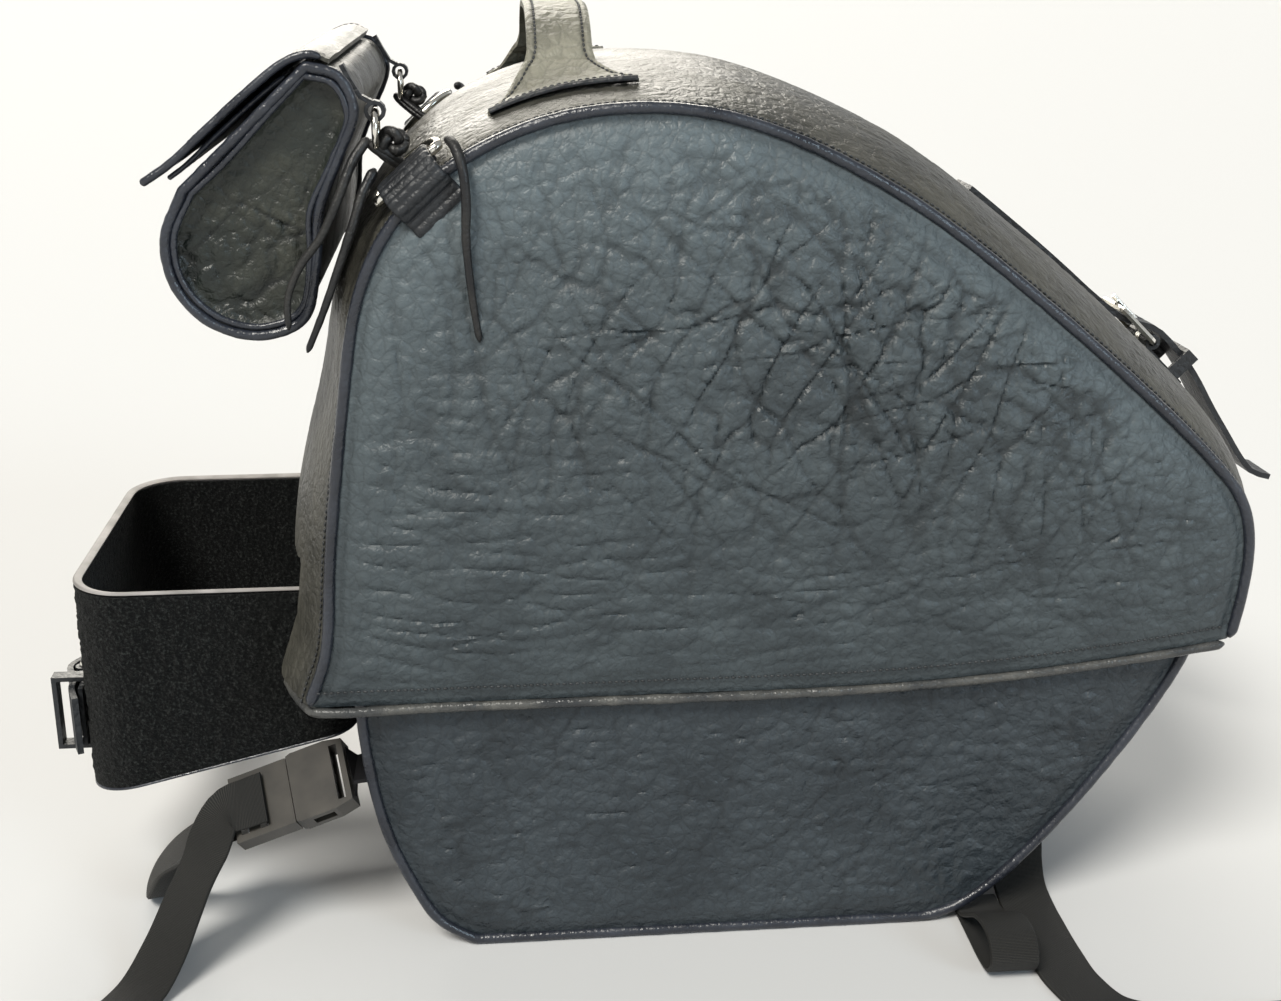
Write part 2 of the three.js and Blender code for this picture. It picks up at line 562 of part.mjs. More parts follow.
function buildClips() {
  const { x, y, z, tilt, droop, width, thick, length } = CLIP;
  for (const [name, side] of SIDES) {
    const group = new THREE.Group();
    group.rotation.set(side * tilt, droop, 0, 'YXZ');
    group.position.set(x, side * y, z);
    group.updateMatrix();
    parts.add(group);

    const w = width / 2;
    const pocket = slab([[0, -w + 4], [26, -w + 4], [26, w - 4], [0, w - 4]], -3.3, 3.3);
    const shell = slab([[1.5, -w + 1], [4, -w], [22, -w], [length, 2 - w], [length, w - 2], [22, w], [4, w],
      [1.5, w - 1]], -thick / 2, thick / 2);
    const windows = [-w, w].map((edge) => box(11, 4.8, 10, [14.5, 0, edge]));
    const slot = slab([[length - 7, 4 - w], [length - 3, 4 - w], [length - 3, w - 4], [length - 7, w - 4]],
      -thick, thick);
    add(`clip_socket_${name}`, cut(shell, pocket, slot, ...windows), 'plastic', group);

    const base = slab([[-length + 1, 1 - w], [0.8, 1 - w], [0.8, w - 1], [-length + 1, w - 1]],
      -thick / 2 + 1, thick / 2 - 1);
    const { reach, pitch, half } = CLIP_FORK;
    const fork = [-pitch, 0, pitch].map((z0) => box(reach, 2 * half, 2 * half, [reach / 2, 0, z0]));
    const slots = CLIP_BARS.map(([a, b]) => box(b - a, 2 * thick, 2 * w - 9, [(a + b) / 2, 0, 0]));
    add(`clip_plug_${name}`, cut(join(base, ...fork), ...slots), 'plastic', group);

    const at = (dx, dy = 0, dz = 0) => new THREE.Vector3(dx, dy, dz).applyMatrix4(group.matrix);
    const across = at(0, 0, 1).sub(at(0));
    const hung = (points) => points.map(([a, b, c]) => new THREE.Vector3(a, side * b, c));
    const root = [at(length + 0.4), at(length + 5), new THREE.Vector3(-195.2, side * y, 92)];
    add(`strap_root_${name}`, webbing(root, across, 4), 'webbing');

    if (side < 0) {
      const above = [at(-length + 0.4, 0), at(-length - 8, 0)];
      add(`front_strap_${name}`, webbing([...above, ...hung(FRONT_STRAP)], across, 24), 'webbing');
    }
    const under = [at(-12, side * 7.2), at(-22, side * 7.4), at(-length - 3, side * 6.4)];
    add(`front_tail_${name}`, webbing([...under, ...hung(FRONT_TAIL)], across, 34), 'webbing');
  }
}

function buildRearStraps() {
  for (const [name, side] of SIDES) {
    if (side < 0) {
      const loop = REAR_LOOP.map(([y, z]) => new THREE.Vector3(113, side * y, z));
      add(`rear_loop_${name}`, sweep(smooth(loop, 20), flat(1.6, 24), new THREE.Vector3(1, 0, 0)), 'webbing');
    }
    const tail = REAR_TAIL.map(([a, b, c]) => new THREE.Vector3(a, side * b, c));
    add(`rear_tail_${name}`, webbing(tail, new THREE.Vector3(1, 0, 0), 34), 'webbing');
  }
}

// ---- laces ----

function buildLaces() {
  for (const [name, side] of SIDES) {
    const laces = [['lid', LID_LACE, 14], ['end', END_LACE, 14], ['gap', GAP_LACE, 12]];
    for (const [kind, points, steps] of side < 0 ? laces : laces.slice(0, 1)) {
      const line = smooth(points.map(([x, y, z]) => new THREE.Vector3(x, side * y, z)), steps);
      add(`lace_${kind}_${name}`, sweep(line, round(LACE)), 'leather');
    }
  }
}

buildTub();
buildLid();
buildHinge();
buildHandle();
buildRoll();
buildRings();
buildLidStrap();
buildBand();
buildClips();
buildRearStraps();
buildLaces();

export default parts;
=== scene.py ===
"""Looks for a leather travel bag that hangs behind a motorcycle's passenger backrest.

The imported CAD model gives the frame: every piece here is built in its row frame, in millimetres, and
rides on one of its bodies. +X is to the rear, +Z is up, and the bag's left side is at -Y.
"""
import math

import bmesh
import bpy
import numpy as np
from mathutils import Matrix, Vector
from mathutils.kdtree import KDTree


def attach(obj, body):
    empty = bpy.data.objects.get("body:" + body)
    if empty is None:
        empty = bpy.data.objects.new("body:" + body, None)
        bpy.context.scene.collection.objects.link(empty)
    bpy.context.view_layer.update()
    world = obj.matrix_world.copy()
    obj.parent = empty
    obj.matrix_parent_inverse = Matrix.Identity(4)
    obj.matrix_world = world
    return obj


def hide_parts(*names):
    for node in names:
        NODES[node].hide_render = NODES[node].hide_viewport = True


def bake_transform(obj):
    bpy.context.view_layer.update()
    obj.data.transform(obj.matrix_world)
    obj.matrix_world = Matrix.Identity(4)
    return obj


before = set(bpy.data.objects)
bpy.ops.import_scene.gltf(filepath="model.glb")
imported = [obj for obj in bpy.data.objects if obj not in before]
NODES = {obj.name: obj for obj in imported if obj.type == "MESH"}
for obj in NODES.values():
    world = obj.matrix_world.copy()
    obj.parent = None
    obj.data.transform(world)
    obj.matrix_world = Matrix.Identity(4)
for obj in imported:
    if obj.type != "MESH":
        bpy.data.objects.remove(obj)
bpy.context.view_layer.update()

MM = 0.001
SIDES = (("near", -1), ("far", 1))

# ---- driving dimensions, in millimetres ----

LID_HALF = 145
BODY_HALF = 134
WALL = 4
HEM_Z, HEM_RISE, HEM_RISE_X = 139, 18, 225
RIM_Z = 188
HEM_BAND = 8.5                  # from the lid's lower edge up to its stitch line
TOPSTITCH = 8                   # from the piping to the stitch line on the gusset
NOTCH = {"half": 102, "top": 197}
BAND = {"front": -343, "back": -204.5, "half": 95, "bottom": 70, "top": 178, "thick": 5,
        "corner": 30, "back_corner": 14, "climb": 0.24}
ROLL_HALF = 130
RING = {"x": -178.5, "z": 403.5, "radius": 8, "wire": 1.5, "side": 120}
TIE = {"x": -172, "z": 398}
DRING = {"x": -159, "bar": 36, "depth": 22, "wire": 2.3, "tab": 28, "rib": 4.3, "tilt": 0.13,
         "inset": 11, "height": 8.4}
HANDLE = {"x": -96, "half": 108, "width": 30, "base": 66, "rise": 21, "thick": 4}
WEBBING = {"width": 28, "thick": 2}
LACE = 2.6
CLIP = {"at": (-236, 115, 79), "tilt": 0.93, "droop": -0.35, "length": 31}
STITCH = {"pitch": 3.1, "length": 2.1, "thick": 0.62}
BAND_STEP = 1.35                # the pitch of the band's mesh along its loop
FLOOR_REACH = 30                # metres
CAMERA = {"at": (-0.131, -0.865, 0.480), "down": 18.18, "turn": -5.25, "lens": 46.65, "rise": -0.0082}
# Each sun: the direction that it stands in, its spread in degrees, its strength and its colour.
LIGHTS = (("key_light", (-0.45, -0.7, 1.0), 22, 3.8, (1.0, 0.97, 0.9)),
          ("window_light", (1.0, -1.1, 0.6), 20, 0.9, (0.68, 0.86, 1.0)),
          ("back_light", (-0.15, 1.3, 0.7), 40, 2.6, (1.0, 0.95, 0.85)))

# Rows of x, z and how far the gusset crowns outward there at mid width.
LID_OUTLINE = [
    (-228, 112, 26), (-221, 140, 27), (-212, 166, 28), (-207, 215, 25), (-199, 275, 18),
    (-188, 335, 15), (-172, 366, 14), (-146, 390, 14), (-104, 409, 13), (-57, 414, 14),
    (-13, 406, 18), (50, 376, 23), (126, 320, 25), (205, 250, 25), (223, 228, 23),
    (229, 205, 21), (226, 165, 20), (216, 130, 18)]
BODY_FRONT = [(-199, 240), (-199, 150), (-196, 104), (-189, 67), (-178, 38), (-165, 15), (-148, 3)]
BODY_REAR = [(60, 0), (92, 5), (112, 16), (150, 56), (192, 116), (208, 148), (214, 180), (215, 240)]
ROLL_OUTLINE = [
    (-262, 379), (-271, 358), (-268, 337), (-254, 321), (-233, 315), (-214, 322),
    (-207, 345), (-204, 370), (-194, 394), (-187, 413), (-193, 427), (-206, 431)]
FLAP = [(-196.5, 433), (-204, 436), (-214, 433.5), (-230, 422), (-250, 405), (-266, 391), (-278, 383)]
FLAP_LINING = [(-214, 428), (-228, 417.5), (-247, 401.5), (-261, 389), (-268, 384)]

# Free straps and laces, from where they leave the bag; y is the distance from the middle.
FRONT_STRAP = [(-281, 111, 58), (-292, 105, 41), (-300, 95, 21), (-306, 80, 5), (-309, 61, 1.6),
               (-308, 40, 1.4), (-302, 18, 1.4), (-290, 0, 1.4), (-271, -11, 1.4), (-248, -14, 1.4)]
FRONT_TAIL = [(-279, 130, 54), (-288, 139, 36), (-297, 150, 17), (-306, 164, 4.4), (-315, 180, 1.6),
              (-322, 198, 1.4), (-321, 215, 1.4), (-308, 227, 1.4), (-284, 232, 1.4), (-250, 233, 1.4),
              (-215, 233, 1.4), (-180, 232, 1.4)]
REAR_LOOP = [(120, 3.6), (130, 3.6), (138, 5), (148, 10.5), (160, 18), (174, 22), (186, 20.5), (192, 12.5),
             (187, 4.6), (174, 1.4), (152, 1.3), (127, 1.3)]
REAR_TAIL = [(140, 104, 25.5), (140, 107, 15), (140, 114, 6), (140, 128, 2.4), (140, 146, 1.4),
             (140, 170, 1.4), (142, 196, 1.4), (152, 220, 1.4), (176, 232, 1.4), (206, 234, 1.4),
             (240, 234, 1.4)]
LID_LACE = [(-147.5, 141, 402), (-144, 150, 399), (-141, 154.5, 390), (-140, 155.5, 377),
            (-140.5, 155, 361), (-139.5, 154, 344), (-138, 153, 329), (-136, 152, 315)]
END_LACE = [(-181.5, 130, 401), (-188.5, 134.5, 391), (-195, 138, 376), (-203, 138.5, 360),
            (-213, 138.5, 347), (-219, 138.5, 333), (-219.5, 138.5, 319)]
GAP_LACE = [(-179, 131.5, 388), (-184.5, 135.5, 378), (-189.5, 138.5, 364), (-196.5, 139, 346),
            (-204, 139.5, 327), (-212, 139.5, 309)]

# ---- lines and surfaces ----


def unit(v):
    return v / np.maximum(np.linalg.norm(v, axis=-1, keepdims=True), 1e-9)


def evenly(line, count):
    """count points evenly spaced along a line of points."""
    line = np.asarray(line, float)
    run = np.r_[0, np.cumsum(np.linalg.norm(np.diff(line, axis=0), axis=1))]
    at = np.linspace(0, run[-1], count)
    return np.stack([np.interp(at, run, column) for column in line.T], 1)


def through(points, count):
    """A centripetal Catmull-Rom curve through the points, evenly resampled."""
    p = np.array(points, float)
    p = np.vstack([2 * p[0] - p[1], p, 2 * p[-1] - p[-2]])
    t = np.linspace(0, 1, 40, endpoint=False)[:, None]
    line = []
    for p0, p1, p2, p3 in zip(p, p[1:], p[2:], p[3:]):
        spans = ((p0, p1), (p1, p2), (p2, p3))
        d0, d1, d2 = (math.sqrt(max(np.linalg.norm(b - a), 1e-6)) for a, b in spans)
        m1 = ((p1 - p0) / d0 - (p2 - p0) / (d0 + d1) + (p2 - p1) / d1) * d1
        m2 = ((p2 - p1) / d1 - (p3 - p1) / (d1 + d2) + (p3 - p2) / d2) * d1
        line.append((2 * t**3 - 3 * t**2 + 1) * p1 + (t**3 - 2 * t**2 + t) * m1
                    + (3 * t**2 - 2 * t**3) * p2 + (t**3 - t**2) * m2)
    line.append(p[-2:-1])
    return evenly(np.vstack(line), count)


def in_plane(points, y=0.0):
    points = np.asarray(points, float)
    return np.stack([points[:, 0], np.full(len(points), y), points[:, 1]], 1)


def on_side(points, side):
    """A route whose y is the distance from the middle, on the near or the far side."""
    return np.asarray(points, float) * (1, side, 1)


def length_of(line):
    return float(np.linalg.norm(np.diff(line, axis=0), axis=1).sum())


def ease(x):
    x = np.clip(x, 0, 1)
    return x * x * (3 - 2 * x)


def turned(x, z, angle):
    return x * math.cos(angle) + z * math.sin(angle), z * math.cos(angle) - x * math.sin(angle)


def facing_out(line, middle):
    """Directions square to a line of x, z pairs, away from a place."""
    tangent = unit(np.gradient(line, axis=0))
    out = np.stack([tangent[:, 1], -tangent[:, 0]], 1)
    return out if ((line - middle) * out).sum() > 0 else -out


# ---- noise ----


def scatter(i, j, seed):
    """A repeatable number between 0 and 1 for each whole-number place."""
    value = np.sin(i * 127.1 + j * 311.7 + seed * 74.7) * 43758.5453
    return value - np.floor(value)


def cell_gap(u, v, seed):
    """How far a place is from the border of its cell, in a net of uneven cells one unit across."""
    i, j = np.floor(u), np.floor(v)
    nearest = np.full(np.shape(u), 9.0)
    second = nearest.copy()
    for di in (-1, 0, 1):
        for dj in (-1, 0, 1):
            cu = i + di + scatter(i + di, j + dj, seed)
            cv = j + dj + scatter(i + di, j + dj, seed + 1)
            d = np.hypot(cu - u, cv - v)
            second = np.minimum(second, np.maximum(nearest, d))
            nearest = np.minimum(nearest, d)
    return second - nearest


def swell(u, v, seed):
    """Smooth noise one unit across, from -1 to 1."""
    i, j = np.floor(u), np.floor(v)
    a, b = ease(u - i), ease(v - j)
    low = scatter(i, j, seed) * (1 - a) + scatter(i + 1, j, seed) * a
    high = scatter(i, j + 1, seed) * (1 - a) + scatter(i + 1, j + 1, seed) * a
    return 2 * (low * (1 - b) + high * b) - 1


def warped(u, v, size, seed, wander, stretch):
    """A place in a net of uneven cells, its lines bent so that no two run alike."""
    far_u, far_v = u / (1.7 * size * stretch), v / (1.7 * size)
    a = u / (size * stretch) + wander * swell(far_u, far_v, seed + 5)
    b = v / size + wander * swell(far_u, far_v, seed + 8)
    return (a + 0.2 * wander * swell(3 * a, 3 * b, seed + 11),
            b + 0.2 * wander * swell(3 * a, 3 * b, seed + 13))


def creases(u, v, size, width, seed, wander=0.35, stretch=1.0):
    """Narrow creases between the cells: 1 at the bottom of one, 0 beside it. Some die away."""
    a, b = warped(u, v, size, seed, wander, stretch)
    strength = ease(0.55 + 0.9 * swell(a / 1.3, b / 1.3, seed + 3))
    return strength * np.exp(-(cell_gap(a, b, seed) / width) ** 2)


def pillows(u, v, size, seed, wander=0.35, stretch=1.0):
    """Plump cells: near 1 on top of each and 0 in the valley between two."""
    a, b = warped(u, v, size, seed, wander, stretch)
    return 1 - np.exp(-2.8 * cell_gap(a, b, seed))


# ---- materials ----


def new_look(name, color, roughness, **sockets):
    """A material with its Principled shader and node tree."""
    look = bpy.data.materials.new(name)
    look.use_nodes = True
    tree = look.node_tree
    shader = tree.nodes["Principled BSDF"]
    shader.inputs["Base Color"].default_value = (*color, 1)
    shader.inputs["Roughness"].default_value = roughness
    for socket, value in sockets.items():
        shader.inputs[socket.replace("_", " ")].default_value = value
    return look, tree, shader


def node(tree, kind, **settings):
    made = tree.nodes.new("ShaderNode" + kind)
    for key, value in settings.items():
        if key in made.inputs:
            made.inputs[key].default_value = value
        else:
            setattr(made, key, value)
    return made


def place_of(tree):
    return node(tree, "TexCoord").outputs["Object"]


def texture(tree, kind, vector, scale, **settings):
    made = node(tree, "Tex" + kind, Scale=scale, **settings)
    tree.links.new(vector, made.inputs["Vector"])
    return made.outputs[0]


def ramp(tree, factor, low, high, first=0.0, last=1.0):
    """A value that goes from first to last as the factor goes from low to high."""
    made = node(tree, "MapRange")
    for socket, value in (("From Min", low), ("From Max", high), ("To Min", first), ("To Max", last)):
        made.inputs[socket].default_value = value
    tree.links.new(factor, made.inputs["Value"])
    return made.outputs["Result"]


def blend_colors(tree, factor, first, last):
    """A colour between two, each a colour or a socket."""
    made = node(tree, "Mix", data_type="RGBA")
    tree.links.new(factor, made.inputs[0])
    for socket, color in ((6, first), (7, last)):
        if isinstance(color, tuple):
            made.inputs[socket].default_value = (*color, 1)
        else:
            tree.links.new(color, made.inputs[socket])
    return made.outputs[2]


def bump(tree, shader, height, strength, distance, below=None):
    made = node(tree, "Bump", Strength=strength, Distance=distance)
    tree.links.new(height, made.inputs["Height"])
    if below is not None:
        tree.links.new(below, made.inputs["Normal"])
    tree.links.new(made.outputs["Normal"], shader.inputs["Normal"])
    return made.outputs["Normal"]


def marked(tree, name, output="Fac"):
    return node(tree, "Attribute", attribute_name=name).outputs[output]


def scaled(color, share):
    return tuple(share * c for c in color)


def leather(name, color, light, roughness=0.42, grain=1.0, relief=1.0, gloss=0.4):
    """Grained leather: wrinkles, pebbles and pores, with painted shade darkening its creases and a painted
    highlight where the lid's shoulders are marked.
    """
    look, tree, shader = new_look(name, color, roughness, Specular_IOR_Level=gloss)
    # a darker colour for painted shade in creases, and a paler one for the painted highlight on the lid's
    # shoulders
    shade_color, pale = scaled(color, 0.4), scaled(light, 1.7)
    place = place_of(tree)
    bend = node(tree, "TexNoise", Scale=90 * grain, Detail=2)
    tree.links.new(place, bend.inputs["Vector"])
    shift = node(tree, "VectorMath", operation="SCALE")
    shift.inputs["Scale"].default_value = 0.003 / grain
    tree.links.new(bend.outputs["Color"], shift.inputs[0])
    bent = node(tree, "VectorMath", operation="ADD")
    tree.links.new(place, bent.inputs[0])
    tree.links.new(shift.outputs["Vector"], bent.inputs[1])
    bent = bent.outputs["Vector"]
    patches = ramp(tree, texture(tree, "Noise", place, 26 * grain, Detail=4), 0.35, 0.68)
    wrinkles = texture(tree, "Voronoi", bent, 165 * grain, feature="DISTANCE_TO_EDGE")
    pebbles = texture(tree, "Voronoi", bent, 430 * grain, feature="DISTANCE_TO_EDGE")
    pores = texture(tree, "Noise", place, 1500 * grain, Detail=3)
    body = blend_colors(tree, patches, color, light)
    # painted highlight: paler where the lid's sides carry their shoulder mark
    body = blend_colors(tree, marked(tree, "shoulder_highlight"), body, pale)
    # painted shade: darker along the edges of the wrinkle cells, where the valleys lie
    body = blend_colors(tree, ramp(tree, wrinkles, 0.0, 0.12, 0.25, 0.0), body, shade_color)
    # painted shade: darker where the mesh is marked, in creases and stitch grooves
    body = blend_colors(tree, marked(tree, "crease_shade"), body, shade_color)
    tree.links.new(body, shader.inputs["Base Color"])
    rough = ramp(tree, patches, 0, 1, roughness - 0.05, roughness + 0.09)
    tree.links.new(rough, shader.inputs["Roughness"])
    low = bump(tree, shader, ramp(tree, wrinkles, 0.0, 0.55), 0.5 * relief, 0.0012)
    low = bump(tree, shader, ramp(tree, pebbles, 0.0, 0.5), 0.4 * relief, 0.0005, low)
    bump(tree, shader, pores, 0.2 * relief, 0.0002, low)
    return look


def nap(name, color, light):
    """Black loop fabric: dense curls that catch light on their tips."""
    look, tree, shader = new_look(name, color, 0.95, Specular_IOR_Level=0.12)
    shader.inputs["Sheen Weight"].default_value = 0.04
    shader.inputs["Sheen Roughness"].default_value = 0.4
    place = place_of(tree)
    curls = texture(tree, "Noise", place, 700, Detail=5, Roughness=0.75)
    tufts = texture(tree, "Voronoi", place, 420, feature="F1")
    tips = ramp(tree, curls, 0.52, 0.8)
    tree.links.new(blend_colors(tree, tips, color, light), shader.inputs["Base Color"])
    low = bump(tree, shader, tufts, 0.8, 0.0012)
    bump(tree, shader, curls, 1.0, 0.0015, low)
    return look


def woven(name, color, light, pitch):
    """Ribbed nylon webbing, on a mesh that carries each point's place along and across the strap."""
    look, tree, shader = new_look(name, color, 0.6, Specular_IOR_Level=0.25)
    place = marked(tree, "place", "Vector")
    ribs = node(tree, "TexWave", wave_type="BANDS", bands_direction="X", Scale=1 / pitch)
    ribs.inputs["Distortion"].default_value = 0.6
    tree.links.new(place, ribs.inputs["Vector"])
    ends = node(tree, "TexWave", wave_type="BANDS", bands_direction="Y", Scale=0.45)
    tree.links.new(place, ends.inputs["Vector"])
    fuzz = texture(tree, "Noise", place, 1.6, Detail=4)
    tree.links.new(blend_colors(tree, ribs.outputs["Fac"], color, light), shader.inputs["Base Color"])
    low = bump(tree, shader, ribs.outputs["Fac"], 0.7, 0.0006)
    low = bump(tree, shader, ends.outputs["Fac"], 0.5, 0.0004, low)
    bump(tree, shader, fuzz, 0.3, 0.0003, low)
    return look


def metal(name, color, roughness):
    """Plated wire with fine polishing marks."""
    look, tree, shader = new_look(name, color, roughness, Metallic=1.0)
    marks = texture(tree, "Noise", place_of(tree), 900, Detail=3)
    rough = ramp(tree, marks, 0.3, 0.7, roughness - 0.05, roughness + 0.08)
    tree.links.new(rough, shader.inputs["Roughness"])
    bump(tree, shader, marks, 0.05, 0.0002)
    return look


def moulded(name, color, light, roughness):
    """Moulded plastic with a fine spark-eroded texture."""
    look, tree, shader = new_look(name, color, roughness)
    place = place_of(tree)
    mottle = ramp(tree, texture(tree, "Noise", place, 60, Detail=3), 0.3, 0.7)
    stipple = texture(tree, "Noise", place, 2600, Detail=2)
    tree.links.new(blend_colors(tree, mottle, color, light), shader.inputs["Base Color"])
    bump(tree, shader, stipple, 0.12, 0.0002)
    return look


SIDE_LEATHER = leather("side_leather", (0.033, 0.042, 0.047), (0.052, 0.065, 0.071), 0.47, 1.0, 0.85)
BODY_LEATHER = leather("body_leather", (0.02, 0.026, 0.031), (0.034, 0.043, 0.05), 0.46)
# Top leather: its warm olive-brown tone is partly a painted reflection of the warm light on the bag's
# upper surfaces.
TOP_LEATHER_PAINTED_SHEEN = leather("top_leather", (0.036, 0.035, 0.029), (0.072, 0.069, 0.056), 0.43)
CAP_LEATHER = leather("cap_leather", (0.012, 0.016, 0.014), (0.034, 0.036, 0.027), 0.4, 1.3, 0.7)
# Handle leather: its pale colour is partly a painted highlight for the strong light on top of the bag.
HANDLE_LEATHER_PAINTED_HIGHLIGHT = leather("handle_leather", (0.12, 0.115, 0.09), (0.24, 0.23, 0.18), 0.5, 0.8, 1.6)
PIPING = leather("piping_leather", (0.011, 0.013, 0.019), (0.022, 0.026, 0.036), 0.3, 1.6, 0.4, gloss=0.6)
# Hem bead leather: its paler colour is partly a painted highlight for the light along the lid's lower
# edge.
HEM_LEATHER_PAINTED_HIGHLIGHT = leather("hem_leather_painted_highlight", (0.03, 0.032, 0.034), (0.09, 0.088, 0.08), 0.3, 1.6, 0.5)
STRAP_LEATHER = leather("strap_leather", (0.009, 0.01, 0.012), (0.02, 0.022, 0.025), 0.42, 1.3, 0.7)
LACE_LEATHER = leather("lace_leather", (0.008, 0.008, 0.009), (0.024, 0.023, 0.021), 0.42, 1.8, 0.4)
LOOP = nap("loop_fabric", (0.003, 0.0035, 0.0035), (0.06, 0.066, 0.062))
NYLON = woven("nylon_webbing", (0.008, 0.008, 0.009), (0.035, 0.034, 0.03), 2.2)
# Pale colour for the band's top binding: a painted highlight along that edge.
BAND_TOP_PAINTED_HIGHLIGHT = moulded("band_top_painted_highlight", (0.16, 0.15, 0.14), (0.3, 0.28, 0.27), 0.6)
PLASTIC = moulded("buckle_plastic", (0.02, 0.018, 0.015), (0.045, 0.04, 0.033), 0.32)
NICKEL = metal("nickel", (0.82, 0.79, 0.72), 0.16)
THREAD = moulded("thread", (0.006, 0.007, 0.008), (0.03, 0.033, 0.036), 0.5)
BOARD = moulded("stiffener_board", (0.03, 0.027, 0.024), (0.05, 0.045, 0.04), 0.7)

# ---- meshes ----


def piece(name, verts, faces, look, body, stands_for=(), smooth=40, marks=None):
    """A closed mesh from points in millimetres, riding on a body. marks are values kept at its points."""
    mesh = bpy.data.meshes.new(name)
    mesh.from_pydata((np.asarray(verts) * MM).tolist(), [], faces)
    for key, values in (marks or {}).items():
        values = np.asarray(values, np.float32)
        kind, field = ("FLOAT", "value") if values.ndim == 1 else ("FLOAT_VECTOR", "vector")
        mesh.attributes.new(key, kind, "POINT").data.foreach_set(field, values.ravel())
    work = bmesh.new()
    work.from_mesh(mesh)
    bmesh.ops.recalc_face_normals(work, faces=work.faces)
    work.to_mesh(mesh)
    work.free()
    mesh.shade_smooth()
    mesh.set_sharp_from_angle(angle=math.radians(smooth))
    mesh.materials.append(look)
    obj = bpy.data.objects.new(name, mesh)
    bpy.context.scene.collection.objects.link(obj)
    if body:
        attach(obj, body)
    if stands_for:
        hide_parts(*stands_for)
    return obj


def lofted(rings, closed=False):
    """Points and faces of a surface through rings of equally many points, capped at both ends."""
    count, sides = rings.shape[:2]
    faces = []
    for r in range(count if closed else count - 1):
        for s in range(sides):
            a, b = r * sides + s, r * sides + (s + 1) % sides
            c, d = ((r + 1) % count) * sides + s, ((r + 1) % count) * sides + (s + 1) % sides
            faces.append((a, b, d, c))
    if not closed:
        faces += [tuple(range(sides)), tuple(range((count - 1) * sides, count * sides))]
    return rings.reshape(-1, 3), faces


def swept(line, section, up=(0, 1, 0), closed=False, scale=None):
    """Rings of a section, given as pairs across and along up, carried down a line without twisting."""
    line = np.asarray(line, float)
    before = np.roll(line, 1, 0) if closed else np.vstack([line[:1], line[:-1]])
    after = np.roll(line, -1, 0) if closed else np.vstack([line[1:], line[-1:]])
    lift = np.array(up, float)
    rings = []
    for i, (point, tangent) in enumerate(zip(line, unit(after - before))):
        lift = unit(lift - tangent * (lift @ tangent))
        across = np.cross(tangent, lift)
        grow = 1 if scale is None else scale[i]
        rings.append(point + grow * (np.outer(section[:, 0], across) + np.outer(section[:, 1], lift)))
    return np.array(rings)


def full_turn(count):
    return np.linspace(0, 2 * math.pi, count, endpoint=False)


def circle(radius, sides=12):
    return radius * np.stack([np.cos(full_turn(sides)), np.sin(full_turn(sides))], 1)


def strap_section(thick, width, corner=0.7, across=9):
    """A flat strap's section with rounded edges: pairs across its thickness and along its width."""
    corner = min(corner, thick / 2)
    flat = np.linspace(-1, 1, across) * (width / 2 - corner)
    turn = np.radians([30, 60])
    edge_a = corner * np.sin(turn)
    edge_b = corner * (1 - np.cos(turn))
    top = [(thick / 2, w) for w in flat]
    out = [(thick / 2 - b, width / 2 - corner + a) for a, b in zip(edge_a, edge_b)]
    half = top + out + [(thick / 2 - corner, width / 2)]
    return np.array(half + [(-a, -b) for a, b in half])


def round_ends(count):
    """Scales that close a tube's ends to a blunt round, over their first three rings."""
    scale = np.ones(count)
    for i in range(3):
        scale[i] = scale[-1 - i] = math.sin(math.pi / 2 * (i + 0.6) / 3)
    return scale


def tube(name, line, radius, look, body, stands_for=(), closed=False, sides=12, up=(0, 1, 0),
         uneven=0.0, seed=0, taper=1.0):
    """A round piece along a line: thinner towards its far end by taper, and uneven as sewn leather is."""
    line = np.asarray(line, float)
    scale = np.ones(len(line)) if closed else round_ends(len(line)) * np.linspace(1, taper, len(line))
    run = np.arange(len(line)) / 3.0
    scale = scale * (1 + uneven * swell(run, run * 0, seed))
    verts, faces = lofted(swept(line, circle(radius, sides), up, closed, scale), closed)
    return piece(name, verts, faces, look, body, stands_for, smooth=75)


def sheet_solid(outer, inner, keep=None, wrap=False):
    """Points and faces of a closed sheet between two grids, less the cells that aren't kept."""
    rows, cols = outer.shape[:2]
    cells_down = rows if wrap else rows - 1
    keep = np.ones((cells_down, cols - 1), bool) if keep is None else keep
    below = rows * cols

    def at(r, c):
        return (r % rows) * cols + c

    def kept(r, c):
        if wrap:
            r %= rows
        return 0 <= r < cells_down and 0 <= c < cols - 1 and keep[r, c]

    faces = []
    for r, c in zip(*np.nonzero(keep)):
        a, b, d, e = at(r, c), at(r, c + 1), at(r + 1, c + 1), at(r + 1, c)
        faces.append((a, b, d, e))
        faces.append((e + below, d + below, b + below, a + below))
        for (dr, dc), p, q in (((-1, 0), a, b), ((1, 0), d, e), ((0, -1), e, a), ((0, 1), b, d)):
            if not kept(r + dr, c + dc):
                faces.append((q, p, p + below, q + below))
    verts = np.vstack([outer.reshape(-1, 3), inner.reshape(-1, 3)])
    used = np.unique(np.concatenate([np.array(f) for f in faces]))
    renumber = np.zeros(len(verts), int)
    renumber[used] = np.arange(len(used))
    return verts[used], [tuple(int(renumber[i]) for i in f) for f in faces], used


def creased(name, outer, inner, crease_shade, look, body, slot, stands_for, keep=None):
    """A closed sheet between two grids, with painted shade for its creases marked on its outer face."""
    verts, faces, used = sheet_solid(outer, inner, keep)
    marks = {"crease_shade": np.r_[crease_shade.ravel(), np.zeros(crease_shade.size)][used]}
    piece(name, verts, faces, look, body, stands_for, marks=marks)


